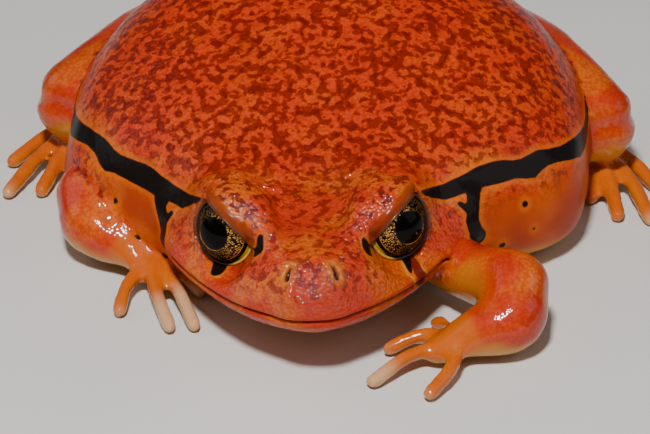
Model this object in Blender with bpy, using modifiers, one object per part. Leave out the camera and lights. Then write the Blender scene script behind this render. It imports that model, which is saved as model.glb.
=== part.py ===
"""Tomato frog, life size, in its resting pose.

A plump adult female sits on the floor with her chin held just clear of it. The left hand is set
forward under the snout and the right hand further back. The hind legs are folded against the flanks.
Sizes are in millimetres. +Y runs from snout to rump, +X is the frog's left side, and Z is up.
"""

import math

import bmesh
import bpy
import numpy as np
from mathutils import Matrix, Vector

MM = 0.001
GAP = 0.3  # clear space kept between neighbouring nodes
FAR = 90.0  # reaches past the whole frog, for blocks that cut a region away

# Head, in its own frame: the origin is the middle of the mouth line, Y runs back, Z up.
# It is turned about the neck, so the snout points a little to the left and a little up.
NECK = (0.0, 25.0, 7.3)
NECK_DEPTH = 25.0  # from the middle of the mouth back to the neck
HEAD_YAW = 5.0
HEAD_PITCH = 5.0
HEAD_ROLL = 2.1
NECK_PLANE = 23.5
LIP_LEVEL = 0.8  # height at which the upper head is widest
JAW_LEVEL = 0.0
SNOUT_BULGE = 2.1
CHIN_BULGE = 1.5
# place, half width, top, bottom, squareness (2 is an ellipse, 1 a straight slope)
UPPER_HEAD = (
    (0.9, 4.8, 5.8, -0.4, 2.2),
    (3.0, 7.8, 6.8, -0.8, 2.1),
    (6.5, 11.1, 7.6, -1.0, 1.75),
    (11.0, 14.3, 8.2, -1.0, 1.42),
    (16.0, 17.1, 8.7, -1.0, 1.7),
    (21.0, 19.4, 9.2, -1.0, 2.0),
    (27.0, 20.9, 10.1, -1.0, 2.2),
    (33.0, 21.2, 11.2, -1.0, 2.2),
)
LOWER_JAW = (
    (0.9, 4.2, 0.6, -2.1, 2.4),
    (3.0, 7.2, 0.6, -2.8, 2.4),
    (6.5, 10.6, 0.6, -3.5, 2.4),
    (11.0, 13.8, 0.6, -3.9, 2.4),
    (16.0, 16.6, 0.6, -4.3, 2.4),
    (21.0, 18.9, 0.6, -4.8, 2.4),
    (27.0, 20.3, 0.6, -5.2, 2.4),
    (33.0, 20.6, 0.6, -5.4, 2.4),
)

# Eyes, in the head's frame for the left one
EYE_CENTRE = (9.9, 14.4, 6.5)
EYE_RADIUS = 4.6
LID_RADIUS = 5.4
PUPIL_AXIS = (0.543, -0.818, 0.179)
OPENING_REACH = 69.0  # degrees from the line of sight to the lower lid
UPPER_LID_NORMAL = (-0.730, 0.278, 0.624)  # points to the covered side of the eyeball
CHEEK_ANGLE = 28.0  # degrees from the line of sight at which the cheek rises from the lower lid
CHEEK_SOFTNESS = 0.5  # how far the cheek's old surface has to stand out before it is pared down fully
LID_MARGIN = 6.0  # degrees below the upper lid in which nothing is pared
CHEEK_FADE = 12.0  # degrees below that margin over which the paring comes in
OPENING_DEPTH = 6.0  # length of the funnel cut away between the lids
LID_CLEARANCE = 1.2  # how far past the lids that cut reaches
HOLLOW_REACH = 8.0  # flesh nearer the eye's centre than this dips towards the opening
HOLLOW_FADE = 25.0  # degrees past the lids over which that dip fades away

# The left ridge from the upper lid to the nostril, and the swelling behind the eye, with radii
BROW = ((7.2, 12.0, 8.6, 2.6), (4.9, 7.6, 6.5, 1.8), (3.4, 3.4, 5.0, 1.6))
TEMPLE = ((10.6, 17.0, 6.6, 4.5), (11.6, 22.5, 5.8, 4.6), (12.6, 28.0, 5.6, 4.4))
NOSTRIL_LOW = (3.3, 0.1, 4.7)
NOSTRIL_HIGH = (2.6, 2.0, 6.3)
NOSTRIL_RADIUS = 0.42
NOSTRIL_SWELL = (2.7, 1.9, 4.9)
NOSTRIL_SWELL_RADIUS = 1.1
# Hollows (minus) and swellings (plus) of the head: place, reach, height
HEAD_RELIEF = (
    ((7.4, 9.2, 5.8), 2.2, -0.5),
    ((6.5, 17.5, 8.8), 4.5, 0.9),
    ((10.0, 22.0, 9.3), 4.5, 0.7),
    ((0.0, 14.0, 8.6), 3.0, -0.4),
)

# Torso, from the floor: place, half width, top, bottom, squareness
TORSO = (
    (18.0, 14.5, 15.2, 5.0, 2.2),
    (22.0, 18.8, 17.2, 4.4, 2.2),
    (26.0, 24.2, 19.0, 3.4, 2.3),
    (30.0, 30.2, 20.8, 1.6, 2.4),
    (36.0, 34.4, 23.6, -0.2, 2.4),
    (43.0, 35.3, 26.7, -1.2, 2.4),
    (50.0, 35.1, 29.4, -1.3, 2.4),
    (57.0, 34.0, 31.0, -1.3, 2.3),
    (64.0, 31.4, 31.2, -1.3, 2.2),
    (71.0, 26.2, 29.2, -1.0, 2.2),
    (78.0, 19.4, 25.0, 0.0, 2.2),
    (84.5, 12.4, 20.0, 2.5, 2.2),
)
CHEST_BULGE = 4.0
RUMP_BULGE = 4.6
TORSO_WAIST = 0.33  # share of its height at which the torso is widest
BELLY_SQUARENESS = 4.4  # the flanks stand steep and sag onto the floor
HEAD_UNDERSIDE_SQUARENESS = 2.3

# Limbs: each place is (x, y, z, radius) along the limb's middle
LEFT_ARM = {
    "upper_arm": ((14.0, 27.0, 6.0, 4.2), (19.6, 20.8, 5.8, 3.8), (26.4, 14.8, 7.4, 4.7)),
    "forearm": ((26.4, 14.4, 7.0, 4.1), (26.2, 10.3, 4.9, 4.5), (20.5, 7.9, 3.6, 2.9)),
    "palm": ((20.5, 7.9, 3.6, 2.9), (19.2, 7.3, 2.9, 2.6), (17.4, 6.6, 2.2, 2.1)),
    "fingers": (
        ((19.3, 10.2, 2.2), (18.8, 13.0, 2.2), (16.7, 15.2, 1.0)),
        ((18.1, 9.3, 2.4), (14.7, 9.4, 2.5), (11.1, 8.2, 1.1)),
        ((17.8, 7.3, 2.4), (13.6, 4.5, 2.3), (9.6, 0.4, 1.0)),
        ((19.5, 5.6, 2.4), (19.1, 2.2, 2.2), (16.8, -1.9, 1.1)),
    ),
}
RIGHT_ARM = {
    "upper_arm": ((-13.4, 25.8, 7.8, 4.7), (-22.6, 30.6, 8.0, 4.2), (-31.0, 33.4, 7.2, 4.6)),
    "forearm": ((-31.0, 33.0, 6.8, 4.0), (-29.6, 28.8, 5.4, 4.2), (-24.2, 25.8, 3.8, 2.8)),
    "palm": ((-24.2, 25.8, 3.8, 2.8), (-22.6, 24.6, 3.0, 2.5), (-21.0, 23.0, 2.2, 2.1)),
    "fingers": (
        ((-21.0, 24.6, 2.3), (-17.6, 23.4, 2.2), (-14.6, 20.6, 1.0)),
        ((-20.2, 23.6, 2.4), (-17.2, 18.5, 2.4), (-14.2, 11.9, 1.0)),
        ((-21.1, 22.7, 2.4), (-19.9, 17.6, 2.5), (-17.3, 11.2, 1.0)),
        ((-22.1, 23.2, 2.3), (-23.9, 19.2, 2.2), (-24.2, 14.7, 1.0)),
    ),
}
FINGER_RADIUS = 1.05
FINGER_TIP = 1.1
PALM_FLATNESS = 0.8  # height over width of a palm or sole
DIGIT_ROOT_SWELL = 1.15  # thickness of a digit's root over its middle

JOINT_REACH = 30.0  # half width of the block that cuts a limb across

# The left hind leg; the right one mirrors it
HIND_LEG = {
    "thigh": ((10.0, 76.0, 12.0, 8.0), (24.5, 68.0, 12.6, 7.8), (37.0, 56.0, 10.6, 5.0)),
    "shank": ((37.0, 56.0, 9.0, 5.0), (32.0, 69.0, 7.0, 4.9), (20.5, 83.0, 4.8, 3.2)),
    "tarsus": ((21.5, 84.0, 3.4, 2.9), (29.5, 76.4, 2.9, 2.4), (34.0, 66.2, 2.4, 2.6)),
    "toes": (
        ((31.2, 67.0, 2.0), (32.0, 60.8, 2.2), (31.0, 56.4, 1.0)),
        ((32.2, 65.4, 2.0), (35.2, 57.0, 2.3), (35.8, 50.4, 1.0)),
        ((32.8, 65.0, 2.0), (37.6, 54.8, 2.5), (39.6, 45.8, 1.0)),
        ((33.4, 65.4, 2.0), (40.2, 55.8, 2.5), (44.0, 45.0, 1.0)),
        ((33.4, 66.2, 2.0), (40.6, 60.4, 2.2), (45.0, 54.0, 1.0)),
    ),
}
TOE_RADIUS = 1.2
TOE_TIP = 1.2

# Mesh fineness
FLESH_VOXEL = 0.55
HEAD_TRIANGLES = 3000
JAW_TRIANGLES = 800
TORSO_TRIANGLES = 1800
LIMB_SIDES = 12
DIGIT_SIDES = 7
CREASE_ANGLE = math.radians(50)  # edges sharper than this are shaded as creases

# sRGB colour and roughness of each part, by the first word of its name
BACK = ("C4451A", 0.35)
THROAT = ("C8742A", 0.35)
LIMB = ("C9501C", 0.35)
DIGITS = ("D98A45", 0.35)
WET_EYE = ("2A2012", 0.08)
FINISHES = {
    "head": BACK,
    "torso": BACK,
    "lower": THROAT,
    "upper": LIMB,
    "forearm": LIMB,
    "thigh": LIMB,
    "shank": LIMB,
    "hand": DIGITS,
    "foot": DIGITS,
    "eye": WET_EYE,
}


def point(place):
    return Vector(place[:3]) * MM


def along(rows, at):
    """Reads a table of stations at one place, with a smooth curve through its rows."""
    table = np.array(rows, float)
    places, values = table[:, 0], table[:, 1:]
    slopes = np.gradient(values, places, axis=0)
    i = int(np.clip(np.searchsorted(places, at) - 1, 0, len(places) - 2))
    span = places[i + 1] - places[i]
    t = (at - places[i]) / span
    return (
        (2 * t**3 - 3 * t**2 + 1) * values[i]
        + (t**3 - 2 * t**2 + t) * span * slopes[i]
        + (3 * t**2 - 2 * t**3) * values[i + 1]
        + (t**3 - t**2) * span * slopes[i + 1]
    )


def power(value, exponent):
    return math.copysign(abs(value) ** exponent, value)


def section(y, half_width, top, bottom, level, squareness, under, sides):
    """One ring of a body section: a rounded oval that is widest at the given level."""
    ring = []
    for k in range(sides):
        turn = 2 * math.pi * k / sides
        upper = math.sin(turn) > 0
        height = (top - level) if upper else (level - bottom)
        exponent = 2 / (squareness if upper else under)
        x = half_width * power(math.cos(turn), exponent)
        z = level + height * power(math.sin(turn), exponent)
        ring.append(Vector((x, y, z)) * MM)
    return ring


def domed(rings, depth, outward):
    """Closes the end of a stack of rings with a rounded cap of the given depth."""
    last = rings[-1]
    centre = sum(last, Vector()) / len(last)
    caps = []
    for degrees in (22, 44, 64, 80):
        turn = math.radians(degrees)
        shift = outward * depth * MM * math.sin(turn)
        caps.append([centre + (p - centre) * math.cos(turn) + shift for p in last])
    return rings + caps


def mesh_of_rings(name, rings):
    """A closed body through the rings, with its two ends filled."""
    sides = len(rings[0])
    corners = [p for ring in rings for p in ring]
    faces = []
    for i in range(len(rings) - 1):
        for k in range(sides):
            low, high = i * sides + k, i * sides + (k + 1) % sides
            faces.append((low, high, high + sides, low + sides))
    faces.append(tuple(range(sides))[::-1])
    faces.append(tuple(range(len(corners) - sides, len(corners))))
    mesh = bpy.data.meshes.new(name)
    mesh.from_pydata(corners, [], faces)
    work = bmesh.new()
    work.from_mesh(mesh)
    bmesh.ops.triangulate(work, faces=[f for f in work.faces if len(f.verts) > 4])
    bmesh.ops.recalc_face_normals(work, faces=work.faces)
    work.to_mesh(mesh)
    work.free()
    return mesh


def add(name, mesh):
    thing = bpy.data.objects.new(name, mesh)
    bpy.context.scene.collection.objects.link(thing)
    return thing


def body_loft(name, rows, front, back, level, under, step=2.0, sides=40):
    """A lengthwise body through a table of stations, domed at each end that has a depth."""
    first, last = rows[0][0], rows[-1][0]
    count = max(2, round((last - first) / step))
    rings = []
    for i in range(count + 1):
        y = first + (last - first) * i / count
        half_width, top, bottom, squareness = along(rows, y)
        widest = level(top, bottom)
        rings.append(section(y, half_width, top, bottom, widest, squareness, under, sides))
    if back:
        rings = domed(rings, back, Vector((0, 1, 0)))
    if front:
        rings = domed(rings[::-1], front, Vector((0, -1, 0)))[::-1]
    return add(name, mesh_of_rings(name, rings))


def limb(name, path, sides=LIMB_SIDES, grow=0.0, flatten=1.0, rings_per_span=4, ends=(True, True)):
    """A tapered limb along a smooth path of (x, y, z, radius) places, with rounded ends."""
    rows = [(i, *place) for i, place in enumerate(path)]
    count = (len(path) - 1) * rings_per_span
    values = [along(rows, (len(path) - 1) * i / count) for i in range(count + 1)]
    middles = [Vector(v[:3]) for v in values]
    side = Vector((0, 0, 1)).cross(middles[1] - middles[0]).normalized()
    rings = []
    for i, value in enumerate(values):
        ahead = (middles[min(i + 1, count)] - middles[max(i - 1, 0)]).normalized()
        side = (side - ahead * side.dot(ahead)).normalized()
        up = ahead.cross(side)
        radius = value[3] + grow
        ring = []
        for k in range(sides):
            turn = 2 * math.pi * k / sides
            across = side * math.cos(turn) + up * math.sin(turn) * flatten
            ring.append((middles[i] + across * radius) * MM)
        rings.append(ring)
    if ends[1]:
        rings = domed(rings, values[-1][3] + grow, (middles[-1] - middles[-2]).normalized())
    if ends[0]:
        start = (middles[0] - middles[1]).normalized()
        rings = domed(rings[::-1], values[0][3] + grow, start)[::-1]
    return add(name, mesh_of_rings(name, rings))


def digit_path(places, radius, tip):
    """A finger or toe: slender, a little swollen at its root and tip."""
    root, middle, end = places
    return ((*root, radius * DIGIT_ROOT_SWELL), (*middle, radius), (*end, tip))


def ball(name, centre, radius, segments=24, rings=14, turn=Matrix.Identity(4)):
    bpy.ops.mesh.primitive_uv_sphere_add(segments=segments, ring_count=rings, radius=radius * MM)
    thing = bpy.context.object
    thing.name = name
    thing.data.transform(Matrix.Translation(point(centre)) @ turn)
    return thing


def block(name, low, high):
    """A box between two corners, used as a cutter."""
    bpy.ops.mesh.primitive_cube_add(size=1)
    thing = bpy.context.object
    thing.name = name
    size = [(b - a) * MM for a, b in zip(low, high)]
    middle = Vector([(a + b) / 2 * MM for a, b in zip(low, high)])
    thing.data.transform(Matrix.Translation(middle) @ Matrix.Diagonal((*size, 1)))
    return thing


def applied(thing):
    """Bakes an object's modifiers into its mesh."""
    view = bpy.context.evaluated_depsgraph_get()
    mesh = bpy.data.meshes.new_from_object(thing.evaluated_get(view))
    thing.modifiers.clear()
    thing.data = mesh
    return thing


def remove(things):
    for thing in things:
        bpy.data.objects.remove(thing)


def joined(name, things):
    """Puts several meshes into one object, without merging them."""
    work = bmesh.new()
    for thing in things:
        work.from_mesh(thing.data)
    mesh = bpy.data.meshes.new(name)
    work.to_mesh(mesh)
    work.free()
    remove(things)
    return add(name, mesh)


def largest_shell(thing):
    """Drops loose scraps and the walls of sealed hollows, and keeps the largest surface."""
    work = bmesh.new()
    work.from_mesh(thing.data)
    left = set(work.verts)
    shells = []
    while left:
        seed = left.pop()
        shell, edge = {seed}, [seed]
        while edge:
            for link in edge.pop().link_edges:
                for vert in link.verts:
                    if vert in left:
                        left.remove(vert)
                        shell.add(vert)
                        edge.append(vert)
        shells.append(shell)
    keep = max(shells, key=len)
    bmesh.ops.delete(work, geom=[v for s in shells if s is not keep for v in s], context="VERTS")
    work.to_mesh(thing.data)
    work.free()
    return thing


def boolean(thing, others, operation):
    """Cuts or joins an object with others, which are used up.

    The flesh is a dense, melted surface, on which the exact solver leaves open edges, so the
    manifold one does the cut.
    """
    group = bpy.data.collections.new("cutters")
    for other in others:
        for home in list(other.users_collection):
            home.objects.unlink(other)
        group.objects.link(other)
        other.hide_render = True
        other.display_type = "WIRE"
    bpy.context.scene.collection.children.link(group)
    change = thing.modifiers.new(operation.lower(), "BOOLEAN")
    change.operation = operation
    change.operand_type = "COLLECTION"
    change.collection = group
    change.solver = "MANIFOLD"
    applied(thing)
    remove(others)
    bpy.data.collections.remove(group)
    return largest_shell(thing)


def head_matrix():
    """Places the head's frame in the body: turned, raised and tilted about the neck."""
    yaw = Matrix.Rotation(math.radians(HEAD_YAW), 4, "Z")
    pitch = Matrix.Rotation(math.radians(-HEAD_PITCH), 4, "X")
    roll = Matrix.Rotation(math.radians(-HEAD_ROLL), 4, "Y")
    to_neck = Matrix.Translation(point((0, -NECK_DEPTH, 0)))
    return Matrix.Translation(point(NECK)) @ yaw @ pitch @ roll @ to_neck


def mirrored(place, side):
    return (place[0] * side, *place[1:])


def fused_flesh(name, things, voxel=FLESH_VOXEL, rounds=12):
    """Melts overlapping bodies into one smooth surface, as skin stretched over them."""
    thing = joined(name, things)
    melt = thing.modifiers.new("melt", "REMESH")
    melt.mode = "VOXEL"
    melt.voxel_size = voxel * MM
    melt.adaptivity = 0
    relax = thing.modifiers.new("relax", "SMOOTH")
    relax.factor = 0.5
    relax.iterations = rounds
    return largest_shell(applied(thing))


def thinned(thing, triangles):
    """Reduces a surface to about this many triangles, most of them where it curves."""
    work = bmesh.new()
    work.from_mesh(thing.data)
    bmesh.ops.triangulate(work, faces=work.faces)
    work.to_mesh(thing.data)
    work.free()
    fewer = thing.modifiers.new("fewer", "DECIMATE")
    fewer.ratio = min(1.0, triangles / len(thing.data.polygons))
    return applied(thing)


def lip_level(top, bottom):
    return LIP_LEVEL


def jaw_level(top, bottom):
    return JAW_LEVEL


def waist_level(top, bottom):
    return bottom + (top - bottom) * TORSO_WAIST


def head_bodies():
    """The head's masses: skull, lower jaw, lids and the swellings round the nostrils."""
    under = HEAD_UNDERSIDE_SQUARENESS
    skull = body_loft("skull", UPPER_HEAD, SNOUT_BULGE, 0, lip_level, under, step=1.5)
    jaw = body_loft("jaw", LOWER_JAW, CHIN_BULGE, 0, jaw_level, under, step=1.5)
    things = [skull, jaw]
    for side in (1, -1):
        lid = ball("lid", mirrored(EYE_CENTRE, side), LID_RADIUS, 32, 20)
        swell = ball("nostril_swell", mirrored(NOSTRIL_SWELL, side), NOSTRIL_SWELL_RADIUS, 16, 10)
        brow = limb("brow", [mirrored(p, side) for p in BROW])
        temple = limb("temple", [mirrored(p, side) for p in TEMPLE])
        things += [lid, swell, brow, temple]
    for thing in things:
        thing.data.transform(head_matrix())
    return things


def torso_body():
    return body_loft("torso_mass", TORSO, CHEST_BULGE, RUMP_BULGE, waist_level, BELLY_SQUARENESS)


def upper_region():
    """Everything above the mouth line and in front of the neck."""
    return head_region("upper_region", GAP / 2, FAR)


def lower_region():
    return head_region("lower_region", -FAR, -GAP / 2)


def head_region(name, low, high):
    region = block(name, (-FAR, -FAR, low), (FAR, NECK_PLANE - GAP / 2, high))
    region.data.transform(head_matrix())
    return region


def smooth_bump(distance, reach):
    """Falls from 1 at no distance to 0 at the given reach and beyond, with soft ends."""
    t = np.clip(1 - distance / reach, 0, 1)
    return t * t * (3 - 2 * t)


def sculpt_head(thing):
    """Adds the head's hollows and swellings, and pares the flesh down to the edge of each lower lid."""
    to_head = np.array(head_matrix().inverted())
    count = len(thing.data.vertices)
    places = np.empty(count * 3)
    normals = np.empty(count * 3)
    thing.data.vertices.foreach_get("co", places)
    thing.data.vertices.foreach_get("normal", normals)
    places = places.reshape(-1, 3) @ to_head[:3, :3].T / MM + to_head[:3, 3] / MM
    normals = normals.reshape(-1, 3) @ to_head[:3, :3].T
    for side in (1, -1):
        for place, reach, height in HEAD_RELIEF:
            share = 0.5 if place[0] == 0 else 1.0  # one on the midline is added for both sides
            distance = np.linalg.norm(places - np.array(mirrored(place, side)), axis=1)
            places += normals * (smooth_bump(distance, 2 * reach) * height * share)[:, None]
    for side in (1, -1):
        centre = np.array(mirrored(EYE_CENTRE, side))
        sight = np.array(Vector(mirrored(PUPIL_AXIS, side)).normalized())
        cover = np.array(Vector(mirrored(UPPER_LID_NORMAL, side)).normalized())
        offset = places - centre
        far = np.linalg.norm(offset, axis=1)
        aim = offset / far[:, None]
        off_sight = np.degrees(np.arccos(np.clip(aim @ sight, -1, 1)))
        covered = np.degrees(np.arcsin(np.clip(aim @ cover, -1, 1)))
        share = smooth_bump(np.maximum(0, off_sight - OPENING_REACH), HOLLOW_FADE)
        share = share * smooth_bump(np.maximum(0, covered), HOLLOW_FADE)
        depth = HOLLOW_REACH - LID_RADIUS
        above = np.clip(far - LID_RADIUS, 0, depth)
        far = far - share * (above - above**2 / depth)
        places = centre + aim * far[:, None]
        ahead = (places - centre) @ sight
        aside = np.linalg.norm(places - centre - ahead[:, None] * sight, axis=1)
        edge_ahead, edge_aside = lower_lid_edge()
        cheek = edge_ahead + (aside - edge_aside) / math.tan(math.radians(CHEEK_ANGLE))
        excess = np.maximum(0, ahead - cheek) * (ahead > 0)
        pared = excess**2 / (excess + CHEEK_SOFTNESS)
        share = smooth_bump(np.maximum(0, covered + LID_MARGIN + CHEEK_FADE), CHEEK_FADE)
        places = places - sight * (pared * share)[:, None]
    from_head = np.array(head_matrix())
    places = places @ from_head[:3, :3].T * MM + from_head[:3, 3]
    thing.data.vertices.foreach_set("co", places.ravel())
    thing.data.update()


def lower_lid_edge():
    """How far the lower lid's edge lies ahead of the eye's centre, and aside from the line of sight."""
    reach = math.radians(OPENING_REACH)
    return (EYE_RADIUS + GAP) * math.cos(reach), (EYE_RADIUS + GAP) * math.sin(reach)


def facing(direction):
    """The turn that points Z in a direction."""
    return Vector(direction).to_track_quat("Z", "Y").to_matrix().to_4x4()


def eye_opening(side):
    """The gap between the lids, as a solid to cut away: a funnel over the eye, below the upper lid."""
    centre = Vector(EYE_CENTRE)
    axis = Vector(PUPIL_AXIS).normalized()
    ahead, narrow = lower_lid_edge()
    wide = narrow + OPENING_DEPTH * math.tan(math.radians(CHEEK_ANGLE))
    bpy.ops.mesh.primitive_cone_add(
        vertices=32, radius1=narrow * MM, radius2=wide * MM, depth=OPENING_DEPTH * MM
    )
    funnel = bpy.context.object
    start = Matrix.Translation((centre + axis * (ahead + OPENING_DEPTH / 2)) * MM)
    funnel.data.transform(start @ facing(axis))
    cover = block("cover", (-FAR, -FAR, 0), (FAR, FAR, FAR))
    cover.data.transform(Matrix.Translation(centre * MM) @ facing(UPPER_LID_NORMAL))
    opening = boolean(funnel, [cover], "DIFFERENCE")
    reach = ball("reach", EYE_CENTRE, LID_RADIUS + LID_CLEARANCE, 32, 18)
    boolean(opening, [reach], "INTERSECT")
    if side < 0:
        opening.data.transform(Matrix.Diagonal((-1, 1, 1, 1)))
        opening.data.flip_normals()
    opening.data.transform(head_matrix())
    return opening


def eyeball(name, side, radius=EYE_RADIUS, segments=22, rings=12):
    """An eyeball whose pole lies on the line of sight."""
    turn = facing(mirrored(PUPIL_AXIS, side))
    eye = ball(name, mirrored(EYE_CENTRE, side), radius, segments, rings, turn)
    eye.data.transform(head_matrix())
    return eye


def nostril(side):
    path = [(*mirrored(p, side), NOSTRIL_RADIUS) for p in (NOSTRIL_LOW, NOSTRIL_HIGH)]
    pit = limb("nostril", path, 8, rings_per_span=2)
    pit.data.transform(head_matrix())
    return pit


def make_trunk_nodes():
    """Head, lower jaw and torso, melted together and then parted by thin cuts."""
    flesh = fused_flesh("flesh", head_bodies() + [torso_body()])
    sculpt_head(flesh)
    head = add("head", flesh.data.copy())
    jaw = add("lower_jaw", flesh.data.copy())
    torso = flesh
    torso.name = "torso"
    behind = block("behind", (-FAR, NECK_PLANE + GAP / 2, -FAR), (FAR, 2 * FAR, FAR))
    behind.data.transform(head_matrix())
    boolean(torso, [behind], "INTERSECT")
    boolean(head, [upper_region()], "INTERSECT")
    boolean(jaw, [lower_region()], "INTERSECT")
    thinned(head, HEAD_TRIANGLES)
    thinned(jaw, JAW_TRIANGLES)
    thinned(torso, TORSO_TRIANGLES)
    boolean(head, [eye_opening(side) for side in (1, -1)], "DIFFERENCE")
    sockets = [eyeball("socket", side, EYE_RADIUS + GAP, 28, 16) for side in (1, -1)]
    boolean(head, sockets, "DIFFERENCE")
    boolean(head, [nostril(side) for side in (1, -1)], "DIFFERENCE")
    eyes = [eyeball("eye_left", 1), eyeball("eye_right", -1)]
    return head, jaw, torso, eyes


def floor_cut(thing):
    """Flattens whatever reaches the floor."""
    below = block("below_floor", (-FAR, -FAR, -FAR), (FAR, 2 * FAR, 0))
    return boolean(thing, [below], "DIFFERENCE")


def splice(thing, place, towards):
    """Cuts a limb square across at a joint, half a gap short of it, keeping the given side."""
    away = Vector(towards).normalized()
    beyond = block("beyond", (-JOINT_REACH, -JOINT_REACH, 0), (JOINT_REACH, JOINT_REACH, FAR))
    start = Matrix.Translation(point(place) - away * (GAP / 2) * MM)
    beyond.data.transform(start @ facing(away))
    return boolean(thing, [beyond], "DIFFERENCE")


def make_room(thing, paths):
    """Trims a body so that it keeps the gap to the limbs that run along these paths."""
    for path in paths:
        boolean(thing, [limb("room", path, grow=GAP)], "DIFFERENCE")


def paw(name, palm_path, digits, radius, tip):
    """A hand or foot: its palm or sole and its digits, fused into one body."""
    palm = limb(name, palm_path, flatten=PALM_FLATNESS, rings_per_span=3)
    paths = [digit_path(places, radius, tip) for places in digits]
    pieces = [limb(f"{name}_digit", path, DIGIT_SIDES, rings_per_span=3) for path in paths]
    return boolean(palm, pieces, "UNION")


def make_arm(side_name, arm):
    upper = limb(f"upper_arm_{side_name}", arm["upper_arm"])
    fore = limb(f"forearm_{side_name}", arm["forearm"])
    hand = paw(f"hand_{side_name}", arm["palm"], arm["fingers"], FINGER_RADIUS, FINGER_TIP)
    make_room(fore, [arm["upper_arm"]])
    make_room(hand, [arm["upper_arm"]])
    wrist = arm["palm"][0]
    along_wrist = Vector(arm["palm"][1][:3]) - Vector(arm["forearm"][1][:3])
    splice(fore, wrist, along_wrist)
    splice(hand, wrist, -along_wrist)
    return upper, fore, hand


def make_leg(side_name, side):
    leg = {
        key: tuple(mirrored(p, side) for p in path)
        for key, path in HIND_LEG.items()
        if key != "toes"
    }
    toes = [tuple(mirrored(p, side) for p in toe) for toe in HIND_LEG["toes"]]
    thigh = limb(f"thigh_{side_name}", leg["thigh"])
    shank = limb(f"shank_{side_name}", leg["shank"])
    foot = paw(f"foot_{side_name}", leg["tarsus"], toes, TOE_RADIUS, TOE_TIP)
    make_room(thigh, [leg["shank"]])
    make_room(foot, [leg["shank"]])
    toe_paths = [digit_path(toe, TOE_RADIUS, TOE_TIP) for toe in toes]
    return thigh, shank, foot, [*leg.values(), *toe_paths]


def finish(thing):
    """Gives a node its material and smooth shading."""
    hex_colour, roughness = FINISHES[thing.name.split("_")[0]]
    material = bpy.data.materials.new(thing.name)
    material.use_nodes = True
    shader = material.node_tree.nodes["Principled BSDF"]
    rgb = [int(hex_colour[i : i + 2], 16) / 255 for i in (0, 2, 4)]
    linear = [c / 12.92 if c <= 0.04045 else ((c + 0.055) / 1.055) ** 2.4 for c in rgb]
    shader.inputs["Base Color"].default_value = (*linear, 1)
    shader.inputs["Roughness"].default_value = roughness
    shader.inputs["Metallic"].default_value = 0.0
    thing.data.materials.clear()
    thing.data.materials.append(material)
    thing.data.shade_smooth()
    thing.data.set_sharp_from_angle(angle=CREASE_ANGLE)


def centred(nodes):
    """Moves the whole frog so that the middle of its box is over the origin and it rests on Z = 0."""
    corners = [v.co for node in nodes for v in node.data.vertices]
    low = [min(c[i] for c in corners) for i in range(3)]
    high = [max(c[i] for c in corners) for i in range(3)]
    shift = Vector((-(low[0] + high[0]) / 2, -(low[1] + high[1]) / 2, -low[2]))
    for node in nodes:
        node.data.transform(Matrix.Translation(shift))


def main():
    for thing in list(bpy.data.objects):
        bpy.data.objects.remove(thing)
    head, jaw, torso, eyes = make_trunk_nodes()
    nodes = [head, jaw, torso, *eyes]
    for side_name, arm in (("left", LEFT_ARM), ("right", RIGHT_ARM)):
        nodes += make_arm(side_name, arm)
        paths = [arm["upper_arm"], arm["forearm"], arm["palm"]]
        make_room(torso, paths)
        make_room(head, paths[:1])
        make_room(jaw, paths)
    for side_name, side in (("left", 1), ("right", -1)):
        *pieces, paths = make_leg(side_name, side)
        nodes += pieces
        make_room(torso, paths)
    frog = bpy.data.collections.new("tomato_frog")
    bpy.context.scene.collection.children.link(frog)
    for node in nodes:
        if node not in eyes:
            floor_cut(node)
        finish(node)
        for home in list(node.users_collection):
            home.objects.unlink(node)
        frog.objects.link(node)
    centred(nodes)


main()
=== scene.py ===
"""The looks of a life-size tomato frog: one moist skin over the whole body, two eyes, and the lids' rims.

Sizes are in millimetres unless a name says otherwise. +Y runs from snout to rump, +X is the frog's
left side, and Z is up. The head has a frame of its own, whose origin is the middle of the mouth line.
"""

import math

import bmesh
import bpy
import numpy as np
from mathutils import Matrix, Vector
from mathutils.bvhtree import BVHTree


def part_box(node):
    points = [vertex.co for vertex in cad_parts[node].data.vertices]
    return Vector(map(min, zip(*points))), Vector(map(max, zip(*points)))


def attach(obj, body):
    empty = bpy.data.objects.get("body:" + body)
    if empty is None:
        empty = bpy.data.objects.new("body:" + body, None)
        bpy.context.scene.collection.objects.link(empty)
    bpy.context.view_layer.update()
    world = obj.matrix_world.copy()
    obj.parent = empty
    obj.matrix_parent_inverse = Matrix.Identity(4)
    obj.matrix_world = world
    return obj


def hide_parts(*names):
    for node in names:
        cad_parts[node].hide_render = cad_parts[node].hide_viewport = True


bl_info = {
    "name": "Tomato frog",
    "version": (1, 0, 0),
    "blender": (4, 5, 0),
    "location": "3D View > Sidebar > Frog",
    "description": "Dresses the solids of a tomato frog in skin, eyes and lids, on a plain stage",
    "category": "Object",
}

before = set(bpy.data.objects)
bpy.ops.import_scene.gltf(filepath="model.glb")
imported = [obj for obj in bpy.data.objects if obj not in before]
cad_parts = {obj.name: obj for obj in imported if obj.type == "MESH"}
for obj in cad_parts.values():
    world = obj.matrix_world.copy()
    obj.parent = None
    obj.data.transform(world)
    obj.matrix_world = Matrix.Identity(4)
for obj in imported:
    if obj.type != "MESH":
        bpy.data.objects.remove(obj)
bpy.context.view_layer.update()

MM = 0.001
SIDES = {"left": 1, "right": -1}

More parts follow.
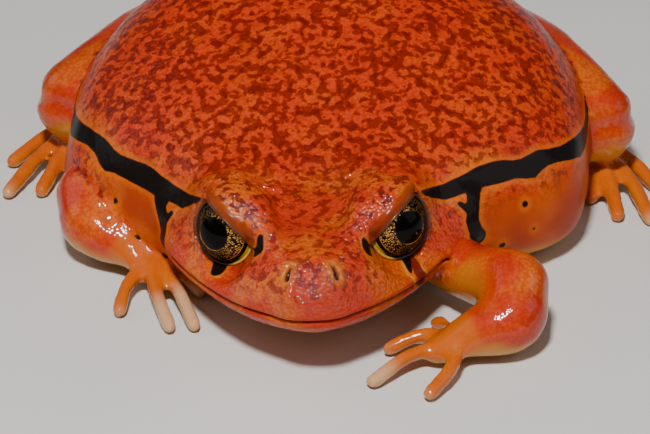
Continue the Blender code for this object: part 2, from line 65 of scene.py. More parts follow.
# The head's turn in the body, in degrees, and its landmarks in its own frame, on the left side
HEAD_YAW = 5.0
HEAD_PITCH = 5.0
HEAD_ROLL = 2.1
EYE_CENTRE = (9.9, 14.4, 6.5)
EYE_RADIUS = 4.6
PUPIL_AXIS = (0.543, -0.818, 0.179)
UPPER_LID_NORMAL = (-0.730, 0.278, 0.624)  # points to the side of the eyeball that the lid covers
LOWER_LID_ANGLE = 69.0  # degrees from the line of sight
LID_GAP = 0.3  # clear space between the eyeball and the lower lid
CHEEK_ANGLE = 28.0  # degrees from the line of sight at which the cheek rises from the lower lid
FRONT_SLOPE = 9.0  # degrees more than that at the front corner
RIM_LENGTH = 4.4  # how far the yellow part of the lower rim reaches from the front corner
CANTHUS = (7.6, 10.5, 5.4)  # front corner of the eye
# The left nostril: points along the slit, with half widths
NOSTRIL = ((3.15, 1.3, 5.2, 0.26), (2.95, 1.9, 5.8, 0.16), (2.5, 2.6, 6.4, 0.06))
NOSTRIL_MIDDLE = (3.0, 1.0, 5.5)
MOUTH_REACH = 20.5  # how far back the mouth line runs
NAPE = (17, 25)  # the head's skin turns into the back's from here to here
# The closed mouth's section: height above the mouth line, half width, and how far it stands out
MOUTH_SECTION = ((0.0, 0.2, -0.5), (0.75, 0.45, 0.16), (-0.7, 0.4, 0.12))

# Heights, depths and spacings of the skin's relief
NOSTRIL_DEPTH = 0.6
NOSTRIL_SWELLING = 0.08
NECK_FOLD_HEIGHT = 0.22
NECK_CREASE_DEPTH = 0.1
LID_FOLD_HEIGHT = 0.07
LID_FOLD_SPACING = 0.85
POUCH_DEPTH = 0.12
POUCH_DISTANCE = 1.3  # from the lower lid's edge to the crease below it
LUMPS = ((0.07, 1.3, 11), (0.12, 3.5, 12))  # height, size and random seed of low lumps
# Depths of the folds where limbs press against the body and against each other
CREASES = (
    ("trunk", "thigh", 0.7),
    ("trunk", "shank", 0.7),
    ("trunk", "arm", 0.5),
    ("thigh", "shank", 0.6),
    ("shank", "foot", 0.4),
    ("trunk", "foot", 0.4),
    ("trunk", "hand", 0.3),
)

# Sizes round the eye, whose radii are from its middle
CORNEA_HEIGHT = 0.2  # above the ball
CORNEA_ANGLE = 58  # degrees from the line of sight to the cornea's edge
VEIN_RADIUS = 3.0  # the veins' pattern lies on a tube of this radius round the line of sight
VEIN_STRETCH = 0.55  # length on the tube for each millimetre on the eye, so that veins run outwards
SUNK_RADIUS = 3.9  # skin that lies on the eyeball is sunk to this radius
LID_INSIDE = 4.78  # radius of the upper lid's inner edge
LID_OUTSIDE = 5.4  # least radius of its outer face
SLOPE_REACH = 8.6  # the slopes that lead down to the eye start within this radius
LOWER_SLIDE = 0.9  # how far the foot of the lower slope slides in under the eyeball
UPPER_SLIDE = 0.7  # how far the foot of the upper one does
RIM_POINTS = 160
RIM_LIFT = 0.14  # from the eyeball to the middle of the roll along the lids' edges

# The skin's edges are split in two, and again, within these distances of its finest shapes
FINE_REACHES = (
    {"mouth": 1.2, "eye": 8.2, "nostril": 2.4, "dot": 2.8},
    {"mouth": 0.6, "eye": 6.2, "nostril": 1.8, "dot": 1.6},
)
FAR = 5.0  # stands for every distance from a mark that is too long to matter

# Nodes of flesh, grouped by how strongly their facets are smoothed away
SMOOTH_ROUNDS = {
    "torso": 80,
    "head": 14,
    "lower": 20,
    "upper": 26,
    "forearm": 26,
    "thigh": 34,
    "shank": 34,
    "hand": 5,
    "foot": 5,
}
FLESH = [name for name in sorted(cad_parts) if name.split("_")[0] in SMOOTH_ROUNDS]
DIGITS = ("hand", "foot")
BROAD = ("torso", "thigh", "shank", "upper")
TRUNK = ("torso", "head", "lower_jaw")
SWELL = 0.25  # the flesh is swollen this much while it melts together, to close the thin cuts
DIGIT_SWELL = 0.06
FACES_KEPT = 0.36  # share of the melted skin's faces kept: the broad parts lose all the others
TRUNK_REACH = 0.8  # skin this near to the trunk's nodes is the trunk's
FACE_REACH = 0.6  # and skin this near to the head's and the jaw's has the mouth line

# Dark markings on the left side, in the body's frame: strokes of (x, y, z, half width)
SIDE_STRIPE = (
    (14.3, -24.4, 18.0, 0.3),
    (15.6, -20.3, 15.8, 0.75),
    (17.0, -18.8, 15.2, 1.0),
    (18.7, -17.5, 15.4, 1.1),
    (20.4, -16.1, 15.6, 1.2),
    (21.7, -15.2, 15.8, 1.4),
    (23.4, -14.0, 15.8, 1.5),
    (25.7, -12.5, 15.5, 1.15),
    (27.1, -11.5, 15.1, 1.5),
    (28.5, -9.6, 15.4, 1.2),
    (30.0, -7.9, 15.1, 0.95),
    (31.4, -6.0, 14.5, 1.1),
    (32.8, -3.0, 13.8, 1.3),
    (34.0, 1.5, 13.2, 1.1),
    (34.6, 6.0, 13.2, 0.8),
    (34.4, 10.5, 14.0, 0.4),
)
FLANK_BAR = (
    (20.4, -16.9, 14.6, 0.95),
    (20.6, -18.2, 13.1, 0.9),
    (20.6, -19.2, 11.1, 0.95),
    (21.1, -19.2, 9.7, 1.1),
    (21.4, -19.0, 8.7, 1.3),
)
BAR_SPUR = ((18.7, -18.7, 13.4, 0.35), (20.4, -18.8, 12.5, 0.6))
FLANK_DOTS = (
    ((27.0, -14.3, 11.5, 0.42),),
    ((24.4, -16.5, 6.5, 0.42),),
    ((28.2, -13.7, 7.7, 0.2),),
)
# Markings round the eyes, in the head's frame: black patches, a red-brown strip and its yellow borders
EYE_PATCHES = {
    "left": (
        ((6.4, 7.6, 7.1, 0.35), (6.8, 7.4, 6.5, 0.75), (7.1, 7.4, 5.9, 0.9), (7.4, 7.4, 5.4, 0.55)),
        ((7.2, 7.5, 6.1, 0.3), (7.5, 8.6, 6.0, 0.12)),
        ((12.3, 12.5, 3.1, 0.5), (12.2, 11.3, 2.1, 0.5), (12.2, 10.5, 1.8, 0.35), (12.3, 9.7, 1.6, 0.1)),
    ),
    "right": (
        ((-6.2, 7.8, 7.9, 0.4), (-6.4, 7.4, 7.4, 0.6), (-6.5, 7.0, 6.8, 0.75), (-6.9, 7.3, 6.2, 0.6)),
        ((-6.9, 7.4, 6.3, 0.3), (-7.4, 8.6, 6.1, 0.12)),
        ((-12.1, 12.7, 3.2, 0.8), (-12.2, 12.0, 2.6, 0.95), (-12.1, 11.2, 1.9, 0.85)),
    ),
}
RUST_STRIPS = {
    "left": (
        ((12.9, 12.4, 2.8, 0.3), (13.1, 10.9, 1.8, 0.6), (13.3, 10.3, 1.1, 0.85), (13.4, 10.9, -0.1, 0.95)),
    ),
    "right": (),
}
YELLOW_BORDERS = {
    "left": (
        ((11.4, 12.0, 2.9, 0.1), (11.6, 10.7, 2.0, 0.14), (12.0, 9.2, 1.6, 0.16), (12.6, 8.9, 0.9, 0.16)),
        ((12.6, 8.9, 0.9, 0.16), (12.7, 9.7, -0.2, 0.12)),
        ((13.0, 12.5, 2.7, 0.14), (13.3, 11.5, 1.9, 0.14), (13.9, 11.1, 1.2, 0.14), (14.3, 12.2, 0.2, 0.1)),
    ),
    "right": (((-12.9, 12.0, 2.6, 0.1), (-12.8, 10.7, 1.9, 0.12), (-11.8, 10.1, 1.3, 0.12)),),
}
# Folds of loose skin behind the lids, in the head's frame: strokes along their crests
NECK_FOLDS = {
    "left": (
        ((3.0, 18.4, 9.3, 0), (5.2, 19.5, 9.8, 0), (7.3, 21.5, 10.7, 0), (8.4, 22.0, 11.0, 0)),
        ((8.4, 22.0, 11.0, 0), (10.4, 19.6, 11.6, 0), (12.3, 16.4, 11.4, 0), (13.6, 14.0, 10.2, 0)),
        ((3.1, 20.2, 9.6, 0), (5.6, 21.9, 10.4, 0), (8.2, 23.6, 11.2, 0), (10.6, 22.6, 11.2, 0)),
    ),
    "right": (
        ((-2.7, 19.3, 9.5, 0), (-4.6, 18.7, 9.6, 0), (-6.6, 19.4, 10.4, 0), (-9.4, 19.4, 11.4, 0)),
        ((-9.4, 19.4, 11.4, 0), (-11.4, 17.9, 11.6, 0), (-12.6, 16.8, 11.0, 0), (-13.4, 14.6, 10.3, 0)),
    ),
}

# The camera is given by what it sees: the middle of the mouth at this place in the picture
PICTURE_WIDTH = 650
PICTURE_HEIGHT = 434
MOUTH_PIXEL = (313.3, 320.9)
PIXELS_PER_MM = 8.15
SENSOR_WIDTH = 36.0

# Soft boxes: the place and the edge of each, and its share of the lamp's power
LAMPS = {
    "main_lamp": ((-20, -290, 450), 60, 1.0),
    "left_fill": ((520, -60, 330), 420, 0.12),
    "right_fill": ((-520, 60, 380), 420, 0.12),
}
LIT_PLACE = (0, -10, 10)  # the lamps face this place
FLOOR_REACH = 1500  # from the frog to the floor's edges
ROOM_COLOUR = (0.9, 0.93, 1.0, 1)  # faintly blue


def linear_colour(hex_colour):
    """Turns an sRGB hex value into the linear colour that a shader takes."""
    channels = [int(hex_colour[i : i + 2], 16) / 255 for i in (0, 2, 4)]
    return [c / 12.92 if c <= 0.04045 else ((c + 0.055) / 1.055) ** 2.4 for c in channels] + [1.0]


def unit(vector):
    vector = np.array(vector, float)
    return vector / np.linalg.norm(vector)


def step(value, low, high):
    """Rises softly from 0 at low to 1 at high."""
    t = np.clip((value - low) / (high - low), 0, 1)
    return t * t * (3 - 2 * t)


def ridge(distance, middle, width):
    """A soft ridge 1 high at some distance."""
    return np.exp(-(((distance - middle) / width) ** 2))


def mirrored(place, side):
    return (place[0] * side, *place[1:])


def eye_box_centre(side_name):
    low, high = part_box(f"eye_{side_name}")
    return np.array((low + high) / 2) / MM


def head_matrix():
    """The head's frame in the body, set so that it holds both eyes where the solids have them."""
    yaw = Matrix.Rotation(math.radians(HEAD_YAW), 3, "Z")
    pitch = Matrix.Rotation(math.radians(-HEAD_PITCH), 3, "X")
    roll = Matrix.Rotation(math.radians(-HEAD_ROLL), 3, "Y")
    turn = np.array(yaw @ pitch @ roll)
    middle = (eye_box_centre("left") + eye_box_centre("right")) / 2
    origin = middle - turn @ np.array((0, *EYE_CENTRE[1:]))
    return turn, origin


HEAD_TURN, HEAD_ORIGIN = head_matrix()


def to_head(places):
    return (places - HEAD_ORIGIN) @ HEAD_TURN


def to_body(places):
    return np.array(places) @ HEAD_TURN.T + HEAD_ORIGIN


def read_places(mesh):
    places = np.empty(len(mesh.vertices) * 3)
    mesh.vertices.foreach_get("co", places)
    return places.reshape(-1, 3) / MM


def write_places(mesh, places):
    mesh.vertices.foreach_set("co", (places * MM).ravel())
    mesh.update()


def read_normals(mesh):
    normals = np.empty(len(mesh.vertices) * 3)
    mesh.vertices.foreach_get("normal", normals)
    return normals.reshape(-1, 3)


def read_edges(mesh):
    edges = np.empty(len(mesh.edges) * 2, np.int64)
    mesh.edges.foreach_get("vertices", edges)
    return edges.reshape(-1, 2)


def store(mesh, fields):
    """Keeps some numbers for each point of a mesh, by name, for its material to read."""
    for name, values in fields.items():
        attribute = mesh.attributes.new(name, "FLOAT", "POINT")
        attribute.data.foreach_set("value", values.astype(np.float32))


def relaxed(places, edges, weight, rounds, pull=0.6):
    """Moves each place towards the middle of its neighbours, again and again."""
    count = len(places)
    degree = np.bincount(edges.ravel(), minlength=count)[:, None]
    for turn in range(rounds):
        total = np.stack(
            [
                np.bincount(edges[:, 0], places[edges[:, 1], i], count)
                + np.bincount(edges[:, 1], places[edges[:, 0], i], count)
                for i in range(3)
            ],
            axis=1,
        )
        share = weight if np.isscalar(weight) else (weight > turn)[:, None]
        places = places + (total / degree - places) * pull * share
    return places


def lumps(places, size, seed):
    """Smooth random lumps of about this size, from -1 to 1."""
    grid = np.random.default_rng(seed).uniform(-1, 1, (32, 32, 32))
    scaled = places / size
    cell = np.floor(scaled).astype(int)
    t = step(scaled, cell, cell + 1)
    value = np.zeros(len(places))
    for corner in np.ndindex(2, 2, 2):
        near = np.where(np.array(corner), t, 1 - t).prod(axis=1)
        x, y, z = ((cell + corner) % 32).T
        value += near * grid[x, y, z]
    return value


def stroke_distance(places, stroke):
    """Distance from a stroke's painted edge, in millimetres, negative inside it."""
    points = np.array(stroke, float)
    if len(points) == 1:
        return np.linalg.norm(places - points[0, :3], axis=1) - points[0, 3]
    best = np.full(len(places), 1e9)
    for start, end in zip(points[:-1], points[1:]):
        along = end[:3] - start[:3]
        t = np.clip((places - start[:3]) @ along / (along @ along), 0, 1)
        middle = start[:3] + t[:, None] * along
        radius = start[3] + t * (end[3] - start[3])
        best = np.minimum(best, np.linalg.norm(places - middle, axis=1) - radius)
    return best


def finished(work, name):
    """Turns a bmesh into a new mesh, and frees it."""
    mesh = bpy.data.meshes.new(name)
    work.to_mesh(mesh)
    work.free()
    return mesh


def add_object(name, data):
    thing = bpy.data.objects.new(name, data)
    bpy.context.scene.collection.objects.link(thing)
    return thing


def applied(thing):
    """Bakes an object's modifiers into its mesh."""
    view = bpy.context.evaluated_depsgraph_get()
    mesh = bpy.data.meshes.new_from_object(thing.evaluated_get(view))
    thing.modifiers.clear()
    thing.data = mesh
    return thing


def add_piece(name, mesh, material):
    """Makes a finished piece that rides on the frog's only body."""
    thing = add_object(name, mesh)
    mesh.materials.clear()
    mesh.materials.append(material)
    mesh.shade_smooth()
    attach(thing, "root")
    return thing


def keep_largest_shell(work):
    """Drops the walls of sealed hollows and loose scraps."""
    left = set(work.verts)
    shells = []
    while left:
        seed = left.pop()
        shell, edge = {seed}, [seed]
        while edge:
            for link in edge.pop().link_edges:
                for vert in link.verts:
                    if vert in left:
                        left.remove(vert)
                        shell.add(vert)
                        edge.append(vert)
        shells.append(shell)
    keep = max(shells, key=len)
    bmesh.ops.delete(work, geom=[v for s in shells if s is not keep for v in s], context="VERTS")


def part_of(name):
    return name.split("_")[0]


def nodes_of(*parts):
    return [name for name in FLESH if part_of(name) in parts]


def swell_of(name):
    return DIGIT_SWELL if part_of(name) in DIGITS else SWELL


def melted_flesh(voxel):
    """One closed surface over all the nodes of flesh and the eyeballs, without their thin cuts."""
    whole = bmesh.new()
    for name in [*FLESH, "eye_left", "eye_right"]:
        work = bmesh.new()
        work.from_mesh(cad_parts[name].data)
        bmesh.ops.remove_doubles(work, verts=work.verts, dist=1e-7)
        work.normal_update()
        for vert in work.verts:
            vert.co += vert.normal * swell_of(name) * MM
        whole.from_mesh(finished(work, "swollen_solid"))
    thing = add_object("frog_skin_melt", finished(whole, "frog_skin"))
    melt = thing.modifiers.new("melt", "REMESH")
    melt.mode = "VOXEL"
    melt.voxel_size = voxel
    mesh = applied(thing).data
    bpy.data.objects.remove(thing)
    work = bmesh.new()
    work.from_mesh(mesh)
    keep_largest_shell(work)
    work.to_mesh(mesh)
    work.free()
    return mesh


def smooth_flesh(mesh):
    """Takes the swelling off again and melts the solids' facets away. Returns each point's node."""
    places = read_places(mesh)
    owners = nearest_nodes(places, FLESH)
    places -= read_normals(mesh) * np.array([swell_of(name) for name in owners])[:, None]
    rounds = np.array([SMOOTH_ROUNDS[part_of(name)] for name in owners], float)
    limbs = [name for name in FLESH if name not in TRUNK]
    # the trunk is smoothed less where limbs touch it, and the lids aren't smoothed
    contact = 1 - step(distance_to(places, limbs), 0.5, 2.5)
    rounds = np.where(np.isin(owners, TRUNK), rounds * (1 - 0.7 * contact), rounds)
    edges = read_edges(mesh)
    rounds = relaxed(rounds[:, None].repeat(3, 1), edges, 1.0, 8)[:, 0]
    for side in SIDES.values():
        rounds *= step(eye_distance(places, side), 5.9, 8.0)
    places = relaxed(places, edges, rounds, int(rounds.max()) + 1)
    write_places(mesh, places)
    # smoothing draws the skin in a little, the most on the back, and this puts it out again
    places += read_normals(mesh) * (0.03 + 0.12 * (rounds > 60))[:, None]
    write_places(mesh, places)
    return owners


def thinned(mesh, owners):
    """The same skin with larger faces on the broad, smooth parts of the body."""
    thing = add_object("frog_skin_thin", mesh)
    broad = thing.vertex_groups.new(name="broad")
    broad.add([i for i, name in enumerate(owners) if part_of(name) in BROAD], 1.0, "REPLACE")
    thin = thing.modifiers.new("thin", "DECIMATE")
    thin.ratio = FACES_KEPT
    thin.vertex_group = "broad"
    thin.vertex_group_factor = 1000.0
    mesh = applied(thing).data
    bpy.data.objects.remove(thing)
    return mesh


def node_tree_of(names):
    """A search tree over the surfaces of some nodes, and the node that each face belongs to."""
    work = bmesh.new()
    owners = []
    for name in names:
        work.from_mesh(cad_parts[name].data)
        owners += [name] * (len(work.faces) - len(owners))
    tree = BVHTree.FromBMesh(work)
    work.free()
    return tree, owners


def nearest_nodes(places, names):
    """The name of the node nearest to each place."""
    tree, owners = node_tree_of(names)
    return [owners[tree.find_nearest(Vector(p * MM))[2]] for p in places]


def distance_to(places, names, reach=3.0):
    """Distance from each place to the nearest of some nodes, up to a reach."""
    tree, _ = node_tree_of(names)
    found = [tree.find_nearest(Vector(p * MM), reach * MM)[3] for p in places]
    return np.array([reach if d is None else d / MM for d in found])


def refine(mesh, chosen):
    """Splits every edge between chosen points in two."""
    work = bmesh.new()
    work.from_mesh(mesh)
    work.verts.ensure_lookup_table()
    edges = [e for e in work.edges if chosen[e.verts[0].index] and chosen[e.verts[1].index]]
    bmesh.ops.subdivide_edges(work, edges=edges, cuts=1, use_grid_fill=True)
    work.to_mesh(mesh)
    work.free()


def eye_axes(side):
    """An eye's middle, its line of sight and the way to its upper lid, in the head's frame."""
    middle, sight, cover = (mirrored(v, side) for v in (EYE_CENTRE, PUPIL_AXIS, UPPER_LID_NORMAL))
    return np.array(middle), unit(sight), unit(cover)


def seen_from_eye(head, side):
    """Distance of each place from an eye's middle, and its direction from there, in the head's frame."""
    offset = head - eye_axes(side)[0]
    far = np.linalg.norm(offset, axis=1)
    return far, offset / far[:, None]


def eye_distance(places, side):
    """Distance of each place in the body's frame from an eye's middle."""
    return seen_from_eye(to_head(places), side)[0]


def lid_edges(aim, side):
    """How far a direction lies outside the lower lid's edge and the upper lid's, in degrees."""
    _, sight, cover = eye_axes(side)
    below = np.degrees(np.arccos(np.clip(aim @ sight, -1, 1))) - LOWER_LID_ANGLE
    above = np.degrees(np.arcsin(np.clip(aim @ cover, -1, 1)))
    return below, above


def mouth_height(head):
    """Height above the mouth line, which rises a little towards the corners."""
    return head[:, 2] - 0.6 * step(head[:, 1], 12, 21)


def sculpt_mouth(head, push, face):
    """The closed mouth: a groove between two soft lips."""
    height = mouth_height(head)
    reach = (1 - step(head[:, 1], MOUTH_REACH - 2.5, MOUTH_REACH + 0.5)) * (face < FACE_REACH)
    for middle, width, rise in MOUTH_SECTION:
        push += rise * ridge(height, middle, width) * reach


def nostril_distance(head):
    """Distance from the edge of the nearest nostril's slit."""
    away = np.full(len(head), FAR)
    for side in SIDES.values():
        slit = [mirrored(p, side) for p in NOSTRIL]
        away = np.minimum(away, stroke_distance(head, slit))
    return away


def sculpt_nostrils(head, push):
    """Each nostril is a short slit with a swollen rim."""
    away = nostril_distance(head)
    push -= NOSTRIL_DEPTH * (1 - step(away, -0.1, 0.25))
    push += NOSTRIL_SWELLING * ridge(away, 0.5, 0.35)


def sculpt_neck_folds(head, push, tree):
    """Low folds of loose skin across the neck, each with a soft crease along both its sides."""
    for strokes in NECK_FOLDS.values():
        for stroke in in_body(strokes):
            crest = on_skin(stroke, tree)
            crest[:, :3] = to_head(crest[:, :3])
            away = stroke_distance(head, crest)
            push += NECK_FOLD_HEIGHT * ridge(away, 0, 0.55) - NECK_CREASE_DEPTH * ridge(away, 1.3, 0.5)


def sculpt_lid_folds(head, push):
    """Fine concentric folds behind and inside each upper lid, and one below the lower lid."""
    for side in SIDES.values():
        far, aim = seen_from_eye(head, side)
        below, above = lid_edges(aim, side)
        behind = step(aim[:, 1], -0.15, 0.35) * step(above, 5, 20)
        wave = np.sin((far + 0.25 * lumps(head, 1.6, 5)) * 2 * math.pi / LID_FOLD_SPACING)
        push += LID_FOLD_HEIGHT * wave * behind * step(far, LID_OUTSIDE, 5.9) * (1 - step(far, 7.6, 9.0))
        pouch = ridge(below * EYE_RADIUS * math.pi / 180, POUCH_DISTANCE, 0.35)
        push -= POUCH_DEPTH * pouch * (1 - step(above, -25, -5)) * (far < 8)


def sculpt_eye_openings(places, edges):
    """Sinks the skin that lies on each eyeball, and clears the funnel between the lids."""
    head = to_head(places)
    loose = np.zeros(len(places))
    edge_ahead = (EYE_RADIUS + LID_GAP) * math.cos(math.radians(LOWER_LID_ANGLE))
    edge_aside = (EYE_RADIUS + LID_GAP) * math.sin(math.radians(LOWER_LID_ANGLE))
    for side in SIDES.values():
        centre, sight, cover = eye_axes(side)
        corner = np.array(mirrored(CANTHUS, side)) - centre
        corner = unit(corner - (corner @ sight) * sight)
        offset = head - centre
        far, aim = seen_from_eye(head, side)
        below, above = lid_edges(aim, side)
        lower, upper = np.radians(below) * EYE_RADIUS, np.radians(above) * EYE_RADIUS
        facing = aim @ sight > -0.3

        # the upper lid's edge rounds off from its outer face to its inner one
        lid = LID_INSIDE + (np.maximum(far, LID_OUTSIDE) - LID_INSIDE) * step(upper, 0.0, 0.75)
        thick = facing & (upper > 0) & (upper > lower) & (far < 6.3)
        head = np.where(thick[:, None], centre + aim * lid[:, None], head)

        # the lower slope is a cone round the line of sight, which opens wider at the front corner
        ahead = offset @ sight
        sideways = offset - ahead[:, None] * sight
        aside = np.linalg.norm(sideways, axis=1)
        sideways /= aside[:, None]
        slope = np.radians(CHEEK_ANGLE + FRONT_SLOPE * step(sideways @ corner, 0.3, 0.9))
        outward = sideways * np.cos(slope)[:, None] - sight * np.sin(slope)[:, None]
        inside = (edge_aside - aside) * np.cos(slope) + (ahead - edge_ahead) * np.sin(slope)
        under = -(offset @ cover)
        gap = facing & (upper < 0) & (ahead > edge_ahead - 0.2) & (inside > 0)
        on_eye = gap & (np.minimum(inside, under) > 1.2 * (far - EYE_RADIUS - 0.08)) & (far < 5.6)
        head = np.where(on_eye[:, None], centre + aim * SUNK_RADIUS, head)
        wall = gap & ~on_eye & (far < SLOPE_REACH)
        share = wall * (1 - step(far, 6.9, SLOPE_REACH))
        # the slope's foot slides in under the eyeball, so that no fillet hides the eye's edge
        along = sideways * np.sin(slope)[:, None] + sight * np.cos(slope)[:, None]
        climb = (ahead - edge_ahead) * np.cos(slope) + (aside - edge_aside) * np.sin(slope)
        slide = LOWER_SLIDE * (1 - step(climb, 0.6, 2.6))
        lid_slide = UPPER_SLIDE * (1 - step(far, 5.0, 6.6))
        to_cone = outward * (inside * share)[:, None] - along * (slide * share)[:, None]
        to_lid = cover * (under * share)[:, None] - aim * (lid_slide * share)[:, None]
        head = np.where(wall[:, None], head + np.where((inside < under)[:, None], to_cone, to_lid), head)
        loose = np.where(wall & (far > 5.5), 4, loose)
    return relaxed(to_body(head), edges, loose, 4, 0.4)


def distances_to_parts(places):
    """How far each place is from each group of nodes."""
    groups = {"trunk": TRUNK, "face": ("head", "lower_jaw"), "arm": nodes_of("upper", "forearm")}
    for part in ("thigh", "shank", "foot", "hand"):
        groups[part] = nodes_of(part)
    return {name: distance_to(places, nodes) for name, nodes in groups.items()}


def sculpt_creases(push, away):
    """Folds where limbs press against the body and against each other."""
    for one, other, depth in CREASES:
        both = np.maximum(away[one], away[other])
        push -= depth * (1 - step(both, 0.1, 1.1))


def placed_stroke(stroke, side):
    """A left-hand stroke moved to either side: near the head it turns with it, behind it doesn't."""
    points = np.array(stroke, float)
    if side > 0:
        return points
    straight = points[:, :3] * (-1, 1, 1)
    turned = to_body(to_head(points[:, :3]) * (-1, 1, 1))
    share = step(points[:, 1], -22, -6)[:, None]
    points[:, :3] = turned * (1 - share) + straight * share
    return points


def on_skin(points, tree):
    """Moves a stroke's points onto the skin."""
    points = np.array(points, float)
    for point in points:
        point[:3] = tree.find_nearest(Vector(point[:3]))[0]
    return points


def painted(places, strokes, tree):
    """Distance from the edge of the nearest of some strokes, which are laid on the skin first."""
    best = np.full(len(places), FAR)
    for stroke in strokes:
        best = np.minimum(best, stroke_distance(places, on_skin(stroke, tree)))
    return best


def trunk_tree(mesh, places, away):
    """A search tree over the skin of the head and body alone, for marks to be laid on."""
    trunk = away["trunk"] < TRUNK_REACH
    faces = [tuple(face.vertices) for face in mesh.polygons if trunk[face.vertices[0]]]
    return BVHTree.FromPolygons([tuple(p) for p in places], faces)


def in_body(strokes):
    """Strokes given in the head's frame, moved to the body's."""
    moved = [np.array(stroke, float) for stroke in strokes]
    for stroke in moved:
        stroke[:, :3] = to_body(stroke[:, :3])
    return moved


def mark_lids(places):
    """Where the lids' own colours lie.

    Gives the distance from the middle of the eye on its upper side, a share for the band along the
    upper lid, one for the painted shade at the lower lid's outer end, and the distance from its front rim.
    """
    dome = np.full(len(places), 9.0)
    band, shade = np.zeros(len(places)), np.zeros(len(places))
    rim = np.full(len(places), FAR)
    for side in SIDES.values():
        far, aim = seen_from_eye(to_head(places), side)
        below, above = lid_edges(aim, side)
        dome = np.minimum(dome, far + 9 * (above < 4))
        upper = np.radians(above) * EYE_RADIUS
        on_lid = (above > 0) & (above > below) & (far < 6.6)
        band = np.maximum(band, on_lid * (1 - step(upper, 0.8, 1.5)))
        near = np.flatnonzero(far < 8)
        points, covered, from_corner = rim_path(side, 0.1)
        lower = [((*p, 0.0), d < RIM_LENGTH) for p, c, d in zip(points, covered, from_corner) if c < 0.5]
        front = stroke_distance(places[near], [p for p, in_front in lower if in_front])
        back = stroke_distance(places[near], [p for p, in_front in lower if not in_front])
        rim[near] = np.minimum(rim[near], front)
        # painted shade: the lower lid's outer end is darkened where it meets the eyeball
        shade[near] = np.maximum(shade[near], 1 - step(back, 0.3, 0.8))
    return dome, band, shade, rim


def paint_markings(mesh, places, away, tree):
    """Stores the markings: each is a distance from a painted edge, or a share from 0 to 1."""
    normals = read_normals(mesh)
    head = to_head(places)
    trunk = away["trunk"] < TRUNK_REACH
    dark, rust, gilt = [], [], []
    for side_name, side in SIDES.items():
        dark += [placed_stroke(s, side) for s in (SIDE_STRIPE, FLANK_BAR, BAR_SPUR, *FLANK_DOTS)]
        dark += in_body(EYE_PATCHES[side_name])
        rust += in_body(RUST_STRIPS[side_name])
        gilt += in_body(YELLOW_BORDERS[side_name])
    black = np.where(trunk, painted(places, dark, tree) + 0.1 * lumps(places, 0.9, 3), FAR)
    height = mouth_height(head)
    nape = step(head[:, 1], *NAPE)
    out_of_mouth = step(head[:, 1], MOUTH_REACH - 1.5, MOUTH_REACH + 0.5)
    up = normals[:, 2]
    outward = normals[:, 0] * np.sign(places[:, 0])

    jaw = step(-height, 3.6, 5.6) * step(-head[:, 1], -26, -20) * trunk
    belly = step(-up, 0.3, 0.85) * trunk * np.maximum(nape, step(-height, 2.6, 4.6))
    under = step(0.35 * lumps(places, 4, 9) - up, 0.0, 0.6) * ~trunk
    digits = (1 - step(np.minimum(away["hand"], away["foot"]), 0.3, 2.8)) * ~trunk
    limb_end = distance_to(places, nodes_of("forearm", "shank"), 14.0)

    dome, band, shade, rim = mark_lids(places)
    snout = step(up, -0.1, 0.5) * step(height, 1.8, 3.6)
    mottled = np.maximum(snout * 0.8, 1 - step(dome, 6.2, 7.6)) * trunk * (1 - band)
    flank = trunk * nape * (1 - step(up, 0.15, 0.6))
    tone = 0.5 * lumps(places, 3.5, 21)
    grainy = np.where(trunk, 1 - 0.5 * nape, 0.2) * (1 - 0.9 * band) * (1 - 0.5 * flank)
    grainy *= 1 - 0.6 * trunk * (1 - nape) * (1 - step(np.abs(height), 0.8, 2.4))
    grainy *= 0.1 + 0.9 * step(black, 0.0, 0.4)
    fields = {
        "black": black,
        "rust": painted(places, rust, tree),
        "gilt": painted(places, gilt, tree),
        "pit": nostril_distance(head),
        "mouth": np.abs(height) + 5 * np.maximum(out_of_mouth, away["face"] > FACE_REACH),
        "front_of_mouth": (1 - step(np.abs(head[:, 0]), 1.5, 5.0)) * trunk,
        "pale": np.clip(np.maximum.reduce([jaw, belly, under * 0.9]), 0, 1),
        "digits": digits,
        "tips": step(limb_end, 7.5, 13.0) * digits,
        "spotted": step(up, 0.05, 0.6) * step(black, 0.9, 3.0) * trunk * nape,
        "flank": flank,
        "inner": ~trunk * step(tone - outward, 0.2, 1.1),
        "outer": ~trunk * step(tone + outward, 0.1, 1.0),
        "band": band,
        "lid_shade": shade,
        "rim": rim,
        "mottled": mottled,
        "grainy": np.clip(grainy, 0.06, 1),
        "wet": np.where(trunk, 0.2 + 0.8 * step(grainy, 0.2, 0.8), 0.9),
    }
    store(mesh, fields)


def dot_distance(places):
    """Distance from the middle of the nearest dot on the flanks."""
    middles = [placed_stroke(dot, side)[0, :3] for dot in FLANK_DOTS for side in SIDES.values()]
    return np.min([np.linalg.norm(places - middle, axis=1) for middle in middles], axis=0)


def near_fine_shapes(places, mouth, eye, nostril, dot):
    """Whether each place is this near to the mouth line, an eye's middle, a nostril or a flank's dot."""
    head = to_head(places)
    near = (np.abs(mouth_height(head)) < mouth) & (head[:, 1] < MOUTH_REACH + 1)
    for side in SIDES.values():
        near |= eye_distance(places, side) < eye
    near |= np.linalg.norm(np.abs(head) - np.array(NOSTRIL_MIDDLE), axis=1) < nostril
    return near | (dot_distance(places) < dot)


